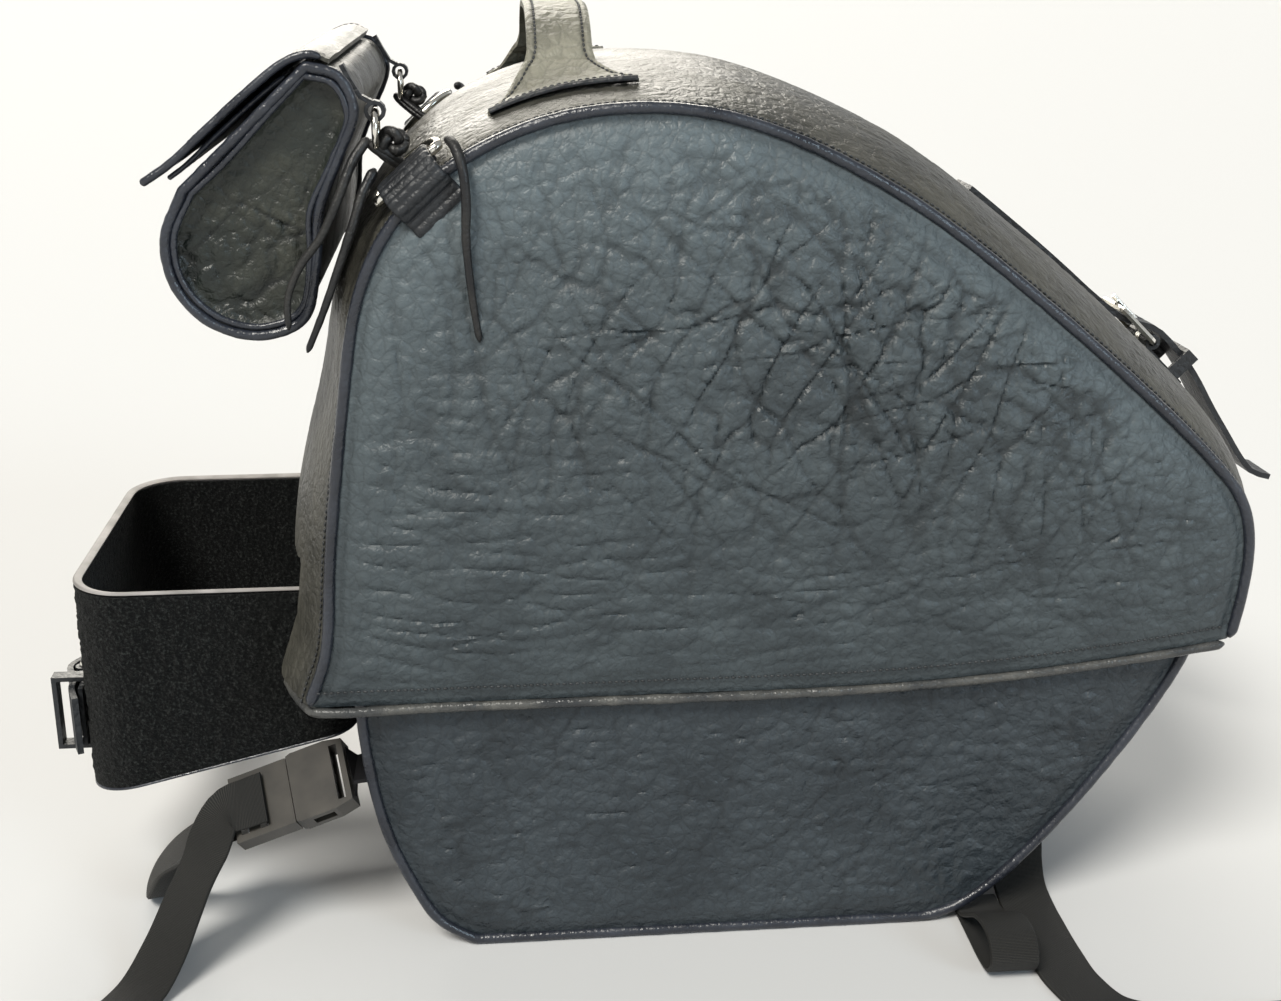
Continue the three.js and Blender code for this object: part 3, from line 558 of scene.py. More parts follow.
def across_bag(line, out, ys, profile):
    """Grids of a sheet that runs straight across the bag along one outline of x, z pairs.

    profile(y) gives how far its outer and inner faces stand off the outline there, and how much painted
    shade darkens its creases.
    """
    outer, inner = np.zeros((2, len(line), len(ys), 3))
    crease_shade = np.zeros(outer.shape[:2])
    for j, y in enumerate(ys):
        above, below, crease_shade[:, j] = profile(y)
        for grid, push in ((outer, above), (inner, below)):
            grid[:, j, 0] = line[:, 0] + out[:, 0] * push
            grid[:, j, 1] = y
            grid[:, j, 2] = line[:, 1] + out[:, 1] * push
    return outer, inner, crease_shade


def inside(outline, x, z):
    """Whether each place lies inside a closed outline."""
    found = np.zeros(x.shape, bool)
    for (x0, z0), (x1, z1) in zip(outline, np.roll(outline, -1, 0)):
        crosses = (z0 > z) != (z1 > z)
        found ^= crosses & (x < (x1 - x0) * (z - z0) / (z1 - z0 + 1e-12) + x0)
    return found


def panel(name, outline, y, side, rise, look, body, stands_for, step=1.5, thick=3.0):
    """An upright leather panel: a fine grid inside an outline, raised outward by rise(x, z, inset)."""
    outline = evenly(np.vstack([outline, outline[:1]]), 900)[:-1]
    low, high = outline.min(0) - step, outline.max(0) + step
    x, z = np.meshgrid(*(np.arange(a, b + step, step) for a, b in zip(low, high)), indexing="ij")
    within = inside(outline, x, z)
    wide = np.zeros_like(within)
    for dx in (-1, 0, 1):
        for dz in (-1, 0, 1):
            wide |= np.roll(np.roll(within, dx, 0), dz, 1)
    border = KDTree(len(outline))
    for i, (px, pz) in enumerate(outline):
        border.insert((px, pz, 0), i)
    border.balance()
    inset = np.zeros(x.shape)
    for i, j in zip(*np.nonzero(wide)):
        spot, _, distance = border.find((x[i, j], z[i, j], 0))
        if within[i, j]:
            inset[i, j] = distance
        else:
            x[i, j], z[i, j] = spot[0], spot[1]
    # rise also gives painted shade for the panel's creases and seams
    height, crease_shade = rise(x, z, inset)
    number = np.full(x.shape, -1)
    number[wide] = np.arange(wide.sum())
    verts = np.stack([x, y + side * height, z], -1)[wide]
    cell = within[:-1, :-1] | within[1:, :-1] | within[:-1, 1:] | within[1:, 1:]
    corners = np.stack([number[:-1, :-1], number[1:, :-1], number[1:, 1:], number[:-1, 1:]], -1)
    faces = [tuple(corner) for corner in corners[cell].tolist()]
    edges = dict.fromkeys(pair for f in faces for pair in zip(f, f[1:] + f[:1]))
    rim = {a: b for a, b in edges if (b, a) not in edges}
    start = next(iter(rim))
    loop = [start]
    while rim[loop[-1]] != start:
        loop.append(rim[loop[-1]])
    back = {a: len(verts) + i for i, a in enumerate(loop)}
    backs = verts[loop].copy()
    backs[:, 1] = y - side * thick
    verts = np.vstack([verts, backs])
    faces += [(b, a, back[a], back[b]) for a, b in zip(loop, loop[1:] + loop[:1])]
    faces.append(tuple(back[a] for a in loop))
    marks = {"crease_shade": np.r_[crease_shade[wide], np.zeros(len(loop))]}
    return piece(name, verts, faces, look, body, stands_for, marks=marks)


def stitches(name, line, out, body):
    """Separate raised stitches along a line. out is the leather's outward direction at each point."""
    line, out = np.asarray(line, float), np.asarray(out, float)
    count = max(2, int(length_of(line) / STITCH["pitch"]))
    both = evenly(np.hstack([line, out * 1e-6]), count + 1)
    point, out = both[:, :3], unit(both[:, 3:])
    along = unit(np.gradient(point, axis=0))
    across = unit(np.cross(along, out))
    swing = np.linspace(-1, 1, 5)
    plump = np.sqrt(1 - (0.93 * swing) ** 2)
    turn = circle(1, 6)
    verts, faces = [], []
    for p, a, c, o in zip(point, along, across, out):
        base = len(verts)
        for s, fat in zip(swing, plump):
            for u, v in turn:
                verts.append(p + a * s * STITCH["length"] / 2 + (c * u + o * v) * STITCH["thick"] * fat)
        for r in range(base, base + 24, 6):
            for k in range(6):
                n = (k + 1) % 6
                faces.append((r + k, r + n, r + 6 + n, r + 6 + k))
        faces.append(tuple(range(base, base + 6)))
        faces.append(tuple(range(base + 24, base + 30)))
    return piece(name, verts, faces, THREAD, body, smooth=80)


def dress(name, look, bevel=0.5, segments=2, smooth=35):
    """A CAD node that keeps its shape, with softened edges and a finished material."""
    obj = NODES[name]
    obj.data.materials.clear()
    obj.data.materials.append(look)
    obj.data.shade_smooth()
    obj.data.set_sharp_from_angle(angle=math.radians(smooth))
    if bevel:
        soften = obj.modifiers.new("soft_edges", "BEVEL")
        soften.width, soften.segments = bevel * MM, segments
        soften.limit_method, soften.angle_limit = "ANGLE", math.radians(40)
        soften.harden_normals = True
    return obj


# ---- the lid's surface ----

STATIONS = through([(x, crown, z) for x, z, crown in LID_OUTLINE], 800)
LID_X, LID_CROWN, LID_Z = STATIONS.T
_tangent = np.gradient(STATIONS[:, [0, 2]], axis=0)
LID_NX, LID_NZ = unit(np.stack([-_tangent[:, 1], _tangent[:, 0]], 1)).T


def crown_share(y):
    return 1 - np.abs(np.asarray(y) / LID_HALF) ** 3


def hem_z(x):
    return HEM_Z + HEM_RISE * np.maximum(0, np.asarray(x) / HEM_RISE_X) ** 2


def lid_column(y):
    """The gusset's line at one distance across the bag, and its outward direction."""
    push = LID_CROWN * crown_share(y)
    line = np.stack([LID_X + LID_NX * push, np.full(len(LID_X), float(y)), LID_Z + LID_NZ * push], 1)
    return line, np.stack([LID_NX, np.zeros(len(LID_X)), LID_NZ], 1)


def lid_run(y, trim=0.0):
    """That column from the front's lower edge, over the top, to the rear's lower edge, less trim."""
    line, normal = lid_column(y)
    above = np.nonzero(line[:, 2] > hem_z(line[:, 0]) + trim)[0]
    return line[above[0]:above[-1] + 1], normal[above[0]:above[-1] + 1]


def top_station(x):
    over = np.nonzero(LID_Z > 300)[0]
    return over[np.argmin(np.abs(LID_X[over] - x))]


# ---- relief of the leather ----


def near(x, z, at_x, at_z, wide, high):
    """1 at one place on a side, fading out over a width and a height."""
    return np.exp(-((x - at_x) / wide) ** 2 - ((z - at_z) / high) ** 2)


def side_relief(x, z, inset, seed):
    """The lid's side: plump, deeply creased in its upper half, drawn in long wrinkles below."""
    edge = ease(inset / 20)
    above_hem = z - hem_z(x)
    plump = 4.2 * (1 - np.exp(-inset / 11)) + 2.8 * (1 - np.exp(-inset / 60))
    plump = plump + 0.8 * swell(x / 90, z / 70, seed)
    under_lace = near(x, z, -138, 350, 45, 90)
    plump += 6 * (1 - np.exp(-(inset / 46) ** 2)) * ease(above_hem / 120) * (1 - under_lace)
    middle = near(x, z, 15, 300, 165, 85)
    right = near(x, z, 165, 235, 80, 80)
    long = near(x, z, -150, 215, 80, 100) + near(x, z, 20, 185, 240, 40)
    broad = pillows(x, z + 0.25 * x, 34, seed, 0.5) * (0.3 + middle)
    puckers = pillows(x, z, 12, seed + 20, 0.45)
    cells = puckers * (0.25 + 0.8 * middle + 0.4 * right)
    small = pillows(x, z, 5.6, seed + 40, 0.4) * (0.5 + 0.5 * middle)
    bowed = z - 18 * swell(x / 140, z / 140, seed + 9)
    drawn = pillows(x, bowed, 9, seed + 60, 0.35, 4.5) * (0.15 + long)
    lines = 0
    for angle, size, long_by in ((1.05, 19, 3.6), (-0.75, 21, 3.4), (0.12, 17, 4.2), (1.9, 23, 2.6)):
        lines = lines + creases(*turned(x, z, angle), size, 0.07, seed + 90 * angle, 0.5, long_by)
    lines = np.minimum(lines, 1.3) * (0.12 + middle + 0.3 * right)
    folds = 1.6 * broad + 1.4 * cells + 0.9 * small + 1.4 * drawn - 1.5 * lines
    hem = 0.7 * (1 - ease((above_hem - HEM_BAND - 0.8) / 1.2)) * ease(inset / 4)
    seam = 0.8 * np.exp(-((above_hem - HEM_BAND) / 1.3) ** 2) + 0.7 * np.exp(-((inset - 5.5) / 1.6) ** 2)
    # painted shade: darker along the long creases and between the puckers
    valley_shade = 0.7 * lines + 0.3 * np.maximum(0, 0.5 - puckers) * middle
    # The second value is painted shade for the crease valleys and the stitch grooves.
    return plump + edge * folds + hem - seam, np.clip(edge * valley_shade + 0.5 * seam, 0, 1)


def body_relief(x, z, inset, seed):
    """The tub's side: flatter, with short fine wrinkles."""
    edge = ease(inset / 16)
    plump = 2.0 * (1 - np.exp(-inset / 10)) + 1.5 * (1 - np.exp(-inset / 50))
    plump = plump + 0.7 * swell(x / 80, z / 60, seed)
    cells = pillows(x, z, 11, seed + 20, 0.4)
    small = pillows(x, z, 6, seed + 40, 0.4)
    drawn = pillows(x + 12 * swell(x / 70, z / 70, seed), z, 8, seed + 60, 0.35, 3)
    lines = creases(x, z, 26, 0.06, seed, 0.5)
    seam = 0.6 * np.exp(-((inset - 6) / 1.8) ** 2)
    folds = 1.1 * cells + 0.8 * small + 1.1 * drawn - 0.5 * lines
    # The second value is painted shade for the creases and the seam groove.
    return plump + edge * folds - seam, np.clip(edge * 0.5 * lines + 0.4 * seam, 0, 1)


def cap_relief(x, z, inset, seed):
    """The roll's end cap: sunk inside its piping, gathered in wrinkles that fan down from the middle."""
    around = np.arctan2(z - 385, x + 236)
    reach = np.hypot(x + 236, z - 385)
    lower = ease((392 - z) / 40)
    edge = ease(inset / 7)
    fan = pillows(around * 11, reach / 3.4, 4.6, seed, 0.5, 0.8) * lower
    cells = pillows(x, z, 8, seed + 20, 0.5) * (0.4 + 0.6 * lower)
    lines = 0.5 * lower * creases(around * 12, reach / 4.5, 6.0, 0.12, seed, 0.5, 0.7)
    for angle in (0.9, -0.6):
        across = creases(*turned(x, z, angle), 15, 0.09, seed + 50 * angle, 0.5, 3)
        lines = lines + across * (0.35 + 0.65 * lower)
    lines = np.minimum(lines, 1.2)
    height = -2.4 * ease(inset / 8) - 2.6 * edge + edge * (1.4 * fan + 0.7 * cells - 0.9 * lines)
    # The second value is painted shade for the creases and between the fanned folds.
    return height, np.clip(edge * (0.8 * lines + 0.3 * (1 - fan) * lower), 0, 1)


# ---- lid ----


def paint_shoulder_highlight(skin, top):
    """Painted highlight: the lid's side coloured paler over its shoulders and near its top, standing in
    for the broad sheen of light there.
    """
    spots = np.empty(3 * len(skin.data.vertices))
    skin.data.vertices.foreach_get("co", spots)
    x, z = spots[0::3] / MM, spots[2::3] / MM
    away = np.full(len(x), 1e9)
    for at_x, at_z in evenly(top, 160):
        away = np.minimum(away, np.hypot(x - at_x, z - at_z))
    shoulder = np.exp(-(away / 42) ** 2) * ease((z - 150) / 140)
    # painted highlight: how much paler each point of the side is made
    painted_sheen = shoulder * (0.3 + 0.4 * near(x, z, -110, 400, 150, 110) + 0.25 * near(x, z, 170, 280, 70, 80))
    painted_sheen += 0.5 * near(x, z, -90, 375, 110, 70)
    painted_sheen += 0.2 * swell(x / 40, z / 25, 611) * near(x, z, 0, 330, 240, 130)
    kept = skin.data.attributes.new("shoulder_highlight", "FLOAT", "POINT")
    kept.data.foreach_set("value", np.clip(painted_sheen, 0, 1).astype(np.float32))


def build_lid_sides():
    edge = np.stack([LID_X, LID_Z], 1)
    front = np.nonzero(edge[:, 1] > HEM_Z)[0][0]
    rear = np.nonzero(edge[:, 1] > hem_z(edge[:, 0]))[0][-1]
    top = edge[front:rear + 1]
    hem_x = np.linspace(top[-1, 0], top[0, 0], 120)[1:-1]
    outline = np.vstack([top, np.stack([hem_x, hem_z(hem_x)], 1)])
    for name, side in SIDES:
        seed = 3 if side < 0 else 173
        skin = panel(f"lid_side_{name}", outline, side * (LID_HALF - 1), side,
                     lambda x, z, inset: side_relief(x, z, inset, seed),
                     SIDE_LEATHER, "lid", (), step=1.25, thick=WALL - 1)
        # painted highlight over the side's shoulders
        paint_shoulder_highlight(skin, top)
        x = np.linspace(top[0, 0] + 5, top[-1, 0] - 6, 400)
        z = hem_z(x) + HEM_BAND
        height, _ = side_relief(x, z, np.full(400, HEM_BAND - 0.1), seed)
        line = np.stack([x, side * (LID_HALF - 0.9 + height), z], 1)
        stitches(f"hem_stitches_{name}", line, np.tile((0, side, 0), (400, 1)), "lid")


def build_lid_gusset():
    ys = np.linspace(-LID_HALF + 1, LID_HALF - 1, 113)
    rows = 380
    outer, inner, crease_shade = [], [], []
    for y in ys:
        line, out = lid_run(y)
        both = evenly(np.hstack([line, out]), rows)
        line, out = both[:, :3], unit(both[:, 3:])
        run = np.linspace(0, 1, rows) * 950
        across = np.full(rows, float(y))
        drawn = creases(run, across, 9, 0.2, 301, 0.4, 2.5)
        cells = creases(run, across, 16, 0.13, 341, 0.4)
        seam = np.exp(-((LID_HALF - abs(y) - TOPSTITCH) / 1.5) ** 2)
        edge = ease((LID_HALF - abs(y)) / 16)
        height = edge * (0.8 * swell(run / 60, across / 60, 311) - 0.45 * drawn - 0.35 * cells)
        height = height - 0.6 * seam
        outer.append(line + out * height[:, None])
        inner.append(line - out * (WALL - 0.4))
        # painted shade in the gusset's creases and its stitch groove
        crease_shade.append(np.clip(edge * (0.3 * drawn + 0.3 * cells) + 0.4 * seam, 0, 1))
    outer, inner = (np.array(grid).transpose(1, 0, 2) for grid in (outer, inner))
    middle = (ys[:-1] + ys[1:]) / 2
    height = (outer[:-1, :-1, 2] + outer[1:, 1:, 2]) / 2
    front = np.arange(rows - 1)[:, None] < rows / 3
    keep = ~(front & (height < NOTCH["top"]) & (np.abs(middle)[None] < NOTCH["half"]))
    creased("lid_gusset", outer, inner, np.array(crease_shade).T, TOP_LEATHER_PAINTED_SHEEN, "lid", "leather",
            ("lid_shell",), keep)
    for name, side in SIDES:
        line, out = lid_run(side * (LID_HALF - TOPSTITCH))
        stitches(f"topstitch_{name}", line, out, "lid")


def build_lid_edges():
    for name, side in SIDES:
        line, _ = lid_run(side * LID_HALF, 1)
        tube(f"lid_bead_{name}", evenly(line, 420), 2.7, PIPING, "lid", (f"lid_piping_{name}",),
             uneven=0.05, seed=side)
        front, _, crown = LID_OUTLINE[1]
        drop = 2.6
        points = [(front + WALL / 2 - crown * float(crown_share(d)), side * d, HEM_Z - drop)
                  for d in (104, 122, 135)]
        points += [(x, side * (LID_HALF - 1.4), float(hem_z(x)) - drop)
                   for x in (-218, -160, -80, 0, 60, 120, 175, 223)]
        tube(f"hem_bead_{name}", through(points, 300), 2.4, HEM_LEATHER_PAINTED_HIGHLIGHT, "lid",
             (f"lid_hem_{name}",), up=(0, 0, 1), uneven=0.08, seed=side + 5)


# ---- tub ----


def body_outline():
    line = np.vstack([through(BODY_FRONT, 160), [(-128, 0)], through(BODY_REAR, 160)])
    return line[line[:, 1] <= RIM_Z]


def build_tub():
    line = evenly(body_outline(), 330)
    lid_line = np.linspace(line[-1, 0], line[0, 0], 160)[1:-1]
    outline = np.vstack([line, np.stack([lid_line, np.full(158, float(RIM_Z))], 1)])
    for name, side in SIDES:
        panel(f"body_side_{name}", outline, side * (BODY_HALF - 1), side,
              lambda x, z, inset: body_relief(x, z, inset, 503 if side < 0 else 673),
              BODY_LEATHER, "body", (), step=1.8, thick=WALL - 1)
        bead = line[line[:, 1] < RIM_Z - 6]
        bead = in_plane(np.maximum(bead, (-999, 2.8)), side * BODY_HALF)
        tube(f"body_bead_{name}", evenly(bead, 330), 2.6, PIPING, "body",
             (f"body_piping_{name}",), uneven=0.05, seed=side + 9)
    run = np.arange(len(line)) * length_of(line) / len(line)

    def profile(y):
        drawn = creases(run, run * 0 + y, 9, 0.2, 801, 0.4, 2)
        edge = ease((BODY_HALF - abs(y)) / 14)
        height = np.where(line[:, 1] < 1.0, 0, -edge * (0.5 * drawn + 0.3))
        # the last value is painted shade in the gusset's creases
        return height, -WALL + 0.6, edge * 0.4 * drawn

    ys = np.linspace(-BODY_HALF + 1, BODY_HALF - 1, 81)
    outer, inner, crease_shade = across_bag(line, facing_out(line, (0, RIM_Z)), ys, profile)
    outer[..., 2] = np.maximum(outer[..., 2], 0)
    creased("body_gusset", outer, inner, crease_shade, BODY_LEATHER, "body", "leather", ("body_shell",))
    dress("base_board", BOARD)
    dress("hinge_strip", STRAP_LEATHER, 0.4)


# ---- handle ----


def gusset_top(x, y):
    """The height of the lid's upper surface at one place."""
    line, _ = lid_column(y)
    upper = line[line[:, 2] > 330]
    return np.interp(x, upper[:, 0], upper[:, 2])


def build_handle():
    """A strap that rises over the hand, with its flared ends lying on the lid under sewn strips."""
    x0, half, width, base = HANDLE["x"], HANDLE["half"], HANDLE["width"], HANDLE["base"]
    rows, cols = 161, 45
    outer, inner = np.zeros((rows, cols, 3)), np.zeros((rows, cols, 3))
    crease_shade = np.zeros((rows, cols))
    for i, y in enumerate(np.linspace(-half - 2.5, half + 2.5, rows)):
        flare = max(0, (abs(y) - (half - 30)) / 30) ** 1.6
        lying = float(ease((abs(y) - (half - 26)) / 22))
        w = width + (base - width) * min(flare, 1.04)
        arch = HANDLE["rise"] * (1 - min(1, abs(y) / (half - 24)) ** 4)
        for j, share in enumerate(np.linspace(-1, 1, cols)):
            x = x0 + share * w / 2
            raised = gusset_top(x0, y) + HANDLE["thick"] + 1.4 + arch
            z = (1 - lying) * raised + lying * (gusset_top(x, y) + 0.4)
            inset = (1 - abs(share)) * w / 2
            seam = math.exp(-((inset - 4) / 1.1) ** 2)
            soft = 1.2 * (1 - ease(inset / 2.0))
            rough = 0.35 * float(swell(y / 3.1, share * w / 6.2, 91)) * float(ease(inset / 3))
            thick = HANDLE["thick"] - 1.2 * lying
            outer[i, j] = (x, y, z + thick - soft - 0.6 * seam + rough)
            inner[i, j] = (x, y, z)
            # painted shade in the handle's stitch groove
            crease_shade[i, j] = 0.5 * seam
    creased("handle", outer, inner, crease_shade, HANDLE_LEATHER_PAINTED_HIGHLIGHT, "lid", "top_leather", ("handle_strap",))
    for share, name in ((-1, "front"), (1, "rear")):
        line = []
        for row in outer[4:-4]:
            w = row[-1, 0] - row[0, 0]
            x = x0 + share * (w / 2 - 4)
            line.append((x, row[0, 1], np.interp(x, row[:, 0], row[:, 2]) + 0.25))
        stitches(f"handle_stitches_{name}", line, np.tile((0, 0, 1), (len(line), 1)), "lid")
    for name, side in SIDES:
        x = np.linspace(x0 - 33, x0 + 33, 40)
        y = side * (half + 3.6)
        line = np.stack([x, np.full(40, y), gusset_top(x, y) + 2.1], 1)
        verts, faces = lofted(swept(line, strap_section(6, 3.4, 1.3, 4), (0, 0, 1)))
        piece(f"handle_strip_{name}", verts, faces, STRAP_LEATHER, "lid",
              (f"handle_base_{name}",), smooth=60)
        sewn = line[2:-2] + (0, 0, 1.7)
        stitches(f"handle_strip_stitches_{name}", sewn, np.tile((0, 0, 1), (36, 1)), "lid")


# ---- roll ----


def build_roll():
    ring = through(ROLL_OUTLINE, 300)
    closing = np.linspace(ring[-1], ring[0], 60)[1:-1]
    outline = np.vstack([ring, closing])
    for name, side in SIDES:
        panel(f"roll_cap_{name}", outline, side * (ROLL_HALF - 1.5), side,
              lambda x, z, inset: cap_relief(x, z, inset, 903 if side < 0 else 977),
              CAP_LEATHER, "roll", (), step=1.0, thick=6.8)
        loop = evenly(np.vstack([outline, outline[:1]]), 360)[:-1]
        bead = in_plane(loop, side * ROLL_HALF)
        tube(f"roll_bead_{name}", bead, 2.3, PIPING, "roll", (f"roll_piping_{name}",),
             closed=True, uneven=0.06, seed=side + 21)
        centre = loop.mean(0)
        inward = loop + unit(centre - loop) * 4.0
        tube(f"roll_inner_bead_{name}", in_plane(inward, side * (ROLL_HALF - 0.2)), 1.5, PIPING, "roll",
             closed=True, uneven=0.08, seed=side + 31)
    run = np.arange(len(ring)) * length_of(ring) / len(ring)

    def profile(y):
        drawn = creases(run, run * 0 + y, 9, 0.2, 1101, 0.4, 2)
        edge = ease((ROLL_HALF - abs(y)) / 14)
        # the last value is painted shade in the gusset's creases
        return -edge * (0.5 * drawn + 0.2), -2.6, edge * 0.4 * drawn

    ys = np.linspace(-ROLL_HALF + 0.5, ROLL_HALF - 0.5, 105)
    grids = across_bag(ring, facing_out(ring, ring.mean(0)), ys, profile)
    creased("roll_gusset", *grids, TOP_LEATHER_PAINTED_SHEEN, "roll", "leather", ("roll_shell",))


def leaf(name, points, half, thick, look, stands_for, slot, seed):
    """One leaf of the roll's flap: a curved sheet with a rounded edge."""
    line = through(points, 60)
    out = facing_out(line, (-240, 300))
    run = np.arange(len(line)) * length_of(line) / len(line)

    def profile(y):
        inset = np.minimum(half - abs(y), run[-1] - run)
        soft = 0.8 * (1 - ease(inset / 1.5))
        seam = 0.5 * np.exp(-((inset - 5) / 1.2) ** 2)
        wave = 0.35 * swell(run / 18, run * 0 + y / 26, seed)
        drawn = creases(run, run * 0 + y, 8, 0.2, seed + 4, 0.4, 2)
        above = thick / 2 - soft - seam + wave - 0.3 * drawn
        # the last value is painted shade in the leaf's creases and its stitch groove
        return above, -thick / 2 + soft + wave, 0.3 * drawn + 0.5 * seam

    outer, inner, crease_shade = across_bag(line, out, np.linspace(-half, half, 121), profile)
    creased(name, outer, inner, crease_shade, look, "roll_flap", slot, stands_for)
    for side_name, column in (("near", 2), ("far", 118)):
        path = outer[2:-4, column] + in_plane(out[2:-4]) * 0.1
        facing = np.tile((out[:, 0].mean(), 0, out[:, 1].mean()), (len(path), 1))
        stitches(f"{name}_stitches_{side_name}", path, facing, "roll_flap")
    lip = in_plane(line[-1:].repeat(38, 0))
    lip[:, 1] = np.linspace(-half, half, 40)[1:-1]
    rim = np.vstack([in_plane(line[2:], -half), lip, in_plane(line[2:][::-1], half)])
    tube(f"{name}_edge", evenly(rim, 360), thick / 2 + 0.25, PIPING, "roll_flap",
         up=(0.3, 0.2, 1), uneven=0.05, seed=seed + 7)


def build_flap():
    leaf("flap_leaf", FLAP, ROLL_HALF - 1, 3.2, TOP_LEATHER_PAINTED_SHEEN, ("roll_flap",), "top_leather", 1301)
    leaf("flap_under_leaf", FLAP_LINING, ROLL_HALF - 8, 1.8, STRAP_LEATHER, ("flap_lining",), "leather",
         1401)


# ---- rings and laces ----


def corner_frame():
    """From places beside a D-ring (along the lid, across it, and off its surface) to places on the bag."""
    s = top_station(DRING["x"])
    along, out = (LID_NZ[s], 0, -LID_NX[s]), (LID_NX[s], 0, LID_NZ[s])
    basis = np.array([along, (0, 1, 0), out])
    return lambda points: np.asarray(points) @ basis + (LID_X[s], 0, LID_Z[s])


def build_d_ring(name, side, to_bag):
    angle = np.linspace(0, math.pi, 40)
    bow = np.stack([DRING["bar"] / 2 * np.cos(angle), -side * DRING["depth"] * np.sin(angle) ** 0.8,
                    0 * angle], 1)
    bar = np.linspace(bow[-1], bow[0], 14)[1:-1]
    tilt = -side * DRING["tilt"]
    turn = np.array([[1, 0, 0], [0, math.cos(tilt), -math.sin(tilt)], [0, math.sin(tilt), math.cos(tilt)]])
    path = np.vstack([bow, bar]) @ turn.T + (0, side * (LID_HALF - DRING["inset"]), DRING["height"])
    tube(f"d_ring_{name}", to_bag(path), DRING["wire"], NICKEL, "lid", (f"dring_{name}",),
         closed=True, up=(0.2, 0.3, 1), sides=14)


def build_ring_tab(name, side, to_bag):
    """A ribbed leather tab, folded over the D-ring's bar and down the lid's side."""
    line = [(2.6, -14), (2.8, -6), (6.1, -1), (5.8, 4), (0, 9.4), (-6, 11.6), (-11.5, 11.8),
            (-14.4, 9.6), (-12.5, 6.2), (-9.5, 5.6)]
    line = evenly(through([(0, side * (LID_HALF + a), b) for a, b in line], 60), 150)
    run = np.linspace(0, length_of(line), 150)
    across = np.linspace(-1, 1, 31)
    side_drop = 0.9 * ease((np.abs(across) - 0.9) / 0.1)
    top = np.stack([1.4 - side_drop, across * DRING["tab"] / 2], 1)
    bottom = np.stack([np.full(31, -1.1), across[::-1] * DRING["tab"] / 2], 1)
    rings = swept(line, np.vstack([top, bottom]) * (side, 1), (1, 0, 0))
    outward = unit(rings[:, 15] - rings[:, 46])
    rib = 0.75 * np.abs(np.sin(math.pi * run / DRING["rib"])) - 0.5
    rings[:, :31] += (outward * rib[:, None])[:, None]
    verts, faces = lofted(to_bag(rings.reshape(-1, 3)).reshape(rings.shape))
    piece(f"ring_tab_{name}", verts, faces, STRAP_LEATHER, "lid", (f"dring_tab_{name}",),
          smooth=60)


def build_rings():
    to_bag = corner_frame()
    for name, side in SIDES:
        build_d_ring(name, side, to_bag)
        build_ring_tab(name, side, to_bag)
        loop = in_plane(RING["radius"] * circle(1, 48))[:, [1, 0, 2]]
        loop = loop + (RING["x"], side * RING["side"], RING["z"])
        tube(f"roll_loop_ring_{name}", loop, RING["wire"], NICKEL, "roll",
             (f"roll_ring_{name}",), closed=True, up=(1, 0, 0), sides=14)
        dress(f"roll_ring_tab_{name}", STRAP_LEATHER, 0.4)


def build_knots():
    """A wound knot of lace on each roll ring, and two loops of lace from there to the D-ring."""
    for name, side in SIDES:
        t = full_turn(160)
        reach = 3.1 + 1.1 * np.cos(3 * t)
        knot = np.stack([reach * np.cos(2 * t), reach * np.sin(2 * t), 2.2 * np.sin(3 * t)], 1)
        centre = np.array((TIE["x"] + 0.6, side * RING["side"], TIE["z"]))
        tube(f"knot_{name}", 1.25 * knot[:, [0, 2, 1]] + centre, 2.3, LACE_LEATHER, "roll",
             (f"lace_knot_{name}",), closed=True, up=(0.1, 1, 0.2), uneven=0.08, seed=side + 41)
        ring = np.array((RING["x"], side * RING["side"], RING["z"] - RING["radius"]))
        bow = corner_frame()(np.array((0, side * (LID_HALF - DRING["inset"] - DRING["depth"]), 6.0)))
        along = unit(bow - ring)
        for i, lean in enumerate((0.5, -0.6)):
            out = unit(np.cross(along, (math.sin(lean), side * 0.3, math.cos(lean))))
            reach = np.linalg.norm(bow - ring) / 2 + 3.6
            loop = (ring + bow) / 2 + circle(1, 90) @ np.array((reach * along, 4.2 * out))
            tube(f"tie_{name}_{i + 1}", loop, 1.9, LACE_LEATHER, "roll", closed=True,
                 up=(0.1, 0.3, 1), uneven=0.06, seed=side + 81 + i)


def lace(name, points, body, stands_for, seed):
    line = through(points, 70)
    obj = tube(name, line, LACE * 0.92, LACE_LEATHER, body, (stands_for,), uneven=0.05,
               seed=seed, taper=0.62)


def strap(name, points, start, body, stands_for, steps=90, width=WEBBING["width"]):
    """A free strap, whose width turns from a starting direction to level as it comes to lie down.

    Where a clip's plug holds it, what lies on the floor stays there as the plug is pulled out.
    """
    line = through(points, steps)
    start = np.asarray(start, float)
    section = strap_section(WEBBING["thick"], width)
    rings, place = [], []
    run = length_of(line) / (steps - 1)
    across = start
    for i, point in enumerate(line):
        tangent = unit(line[min(i + 1, steps - 1)] - line[max(i - 1, 0)])
        level = np.cross((0, 0, 1), tangent)
        level = unit(level) * (1 if level @ across >= 0 else -1)
        share = float(ease(i / steps / 0.25))
        across = start * (1 - share) + level * share
        across = unit(across - tangent * (across @ tangent))
        face = np.cross(tangent, across)
        rings.append(point + np.outer(section[:, 0], face) + np.outer(section[:, 1], across))
        place.append(np.stack([np.full(len(section), i * run), section[:, 1], section[:, 0]], 1))
    verts, faces = lofted(np.array(rings))
    pulled = body.startswith("plug")
    obj = piece(name, verts, faces, NYLON, None if pulled else body, (stands_for,), smooth=50,
                marks={"place": np.vstack(place)})
    if pulled:
        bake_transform(obj)


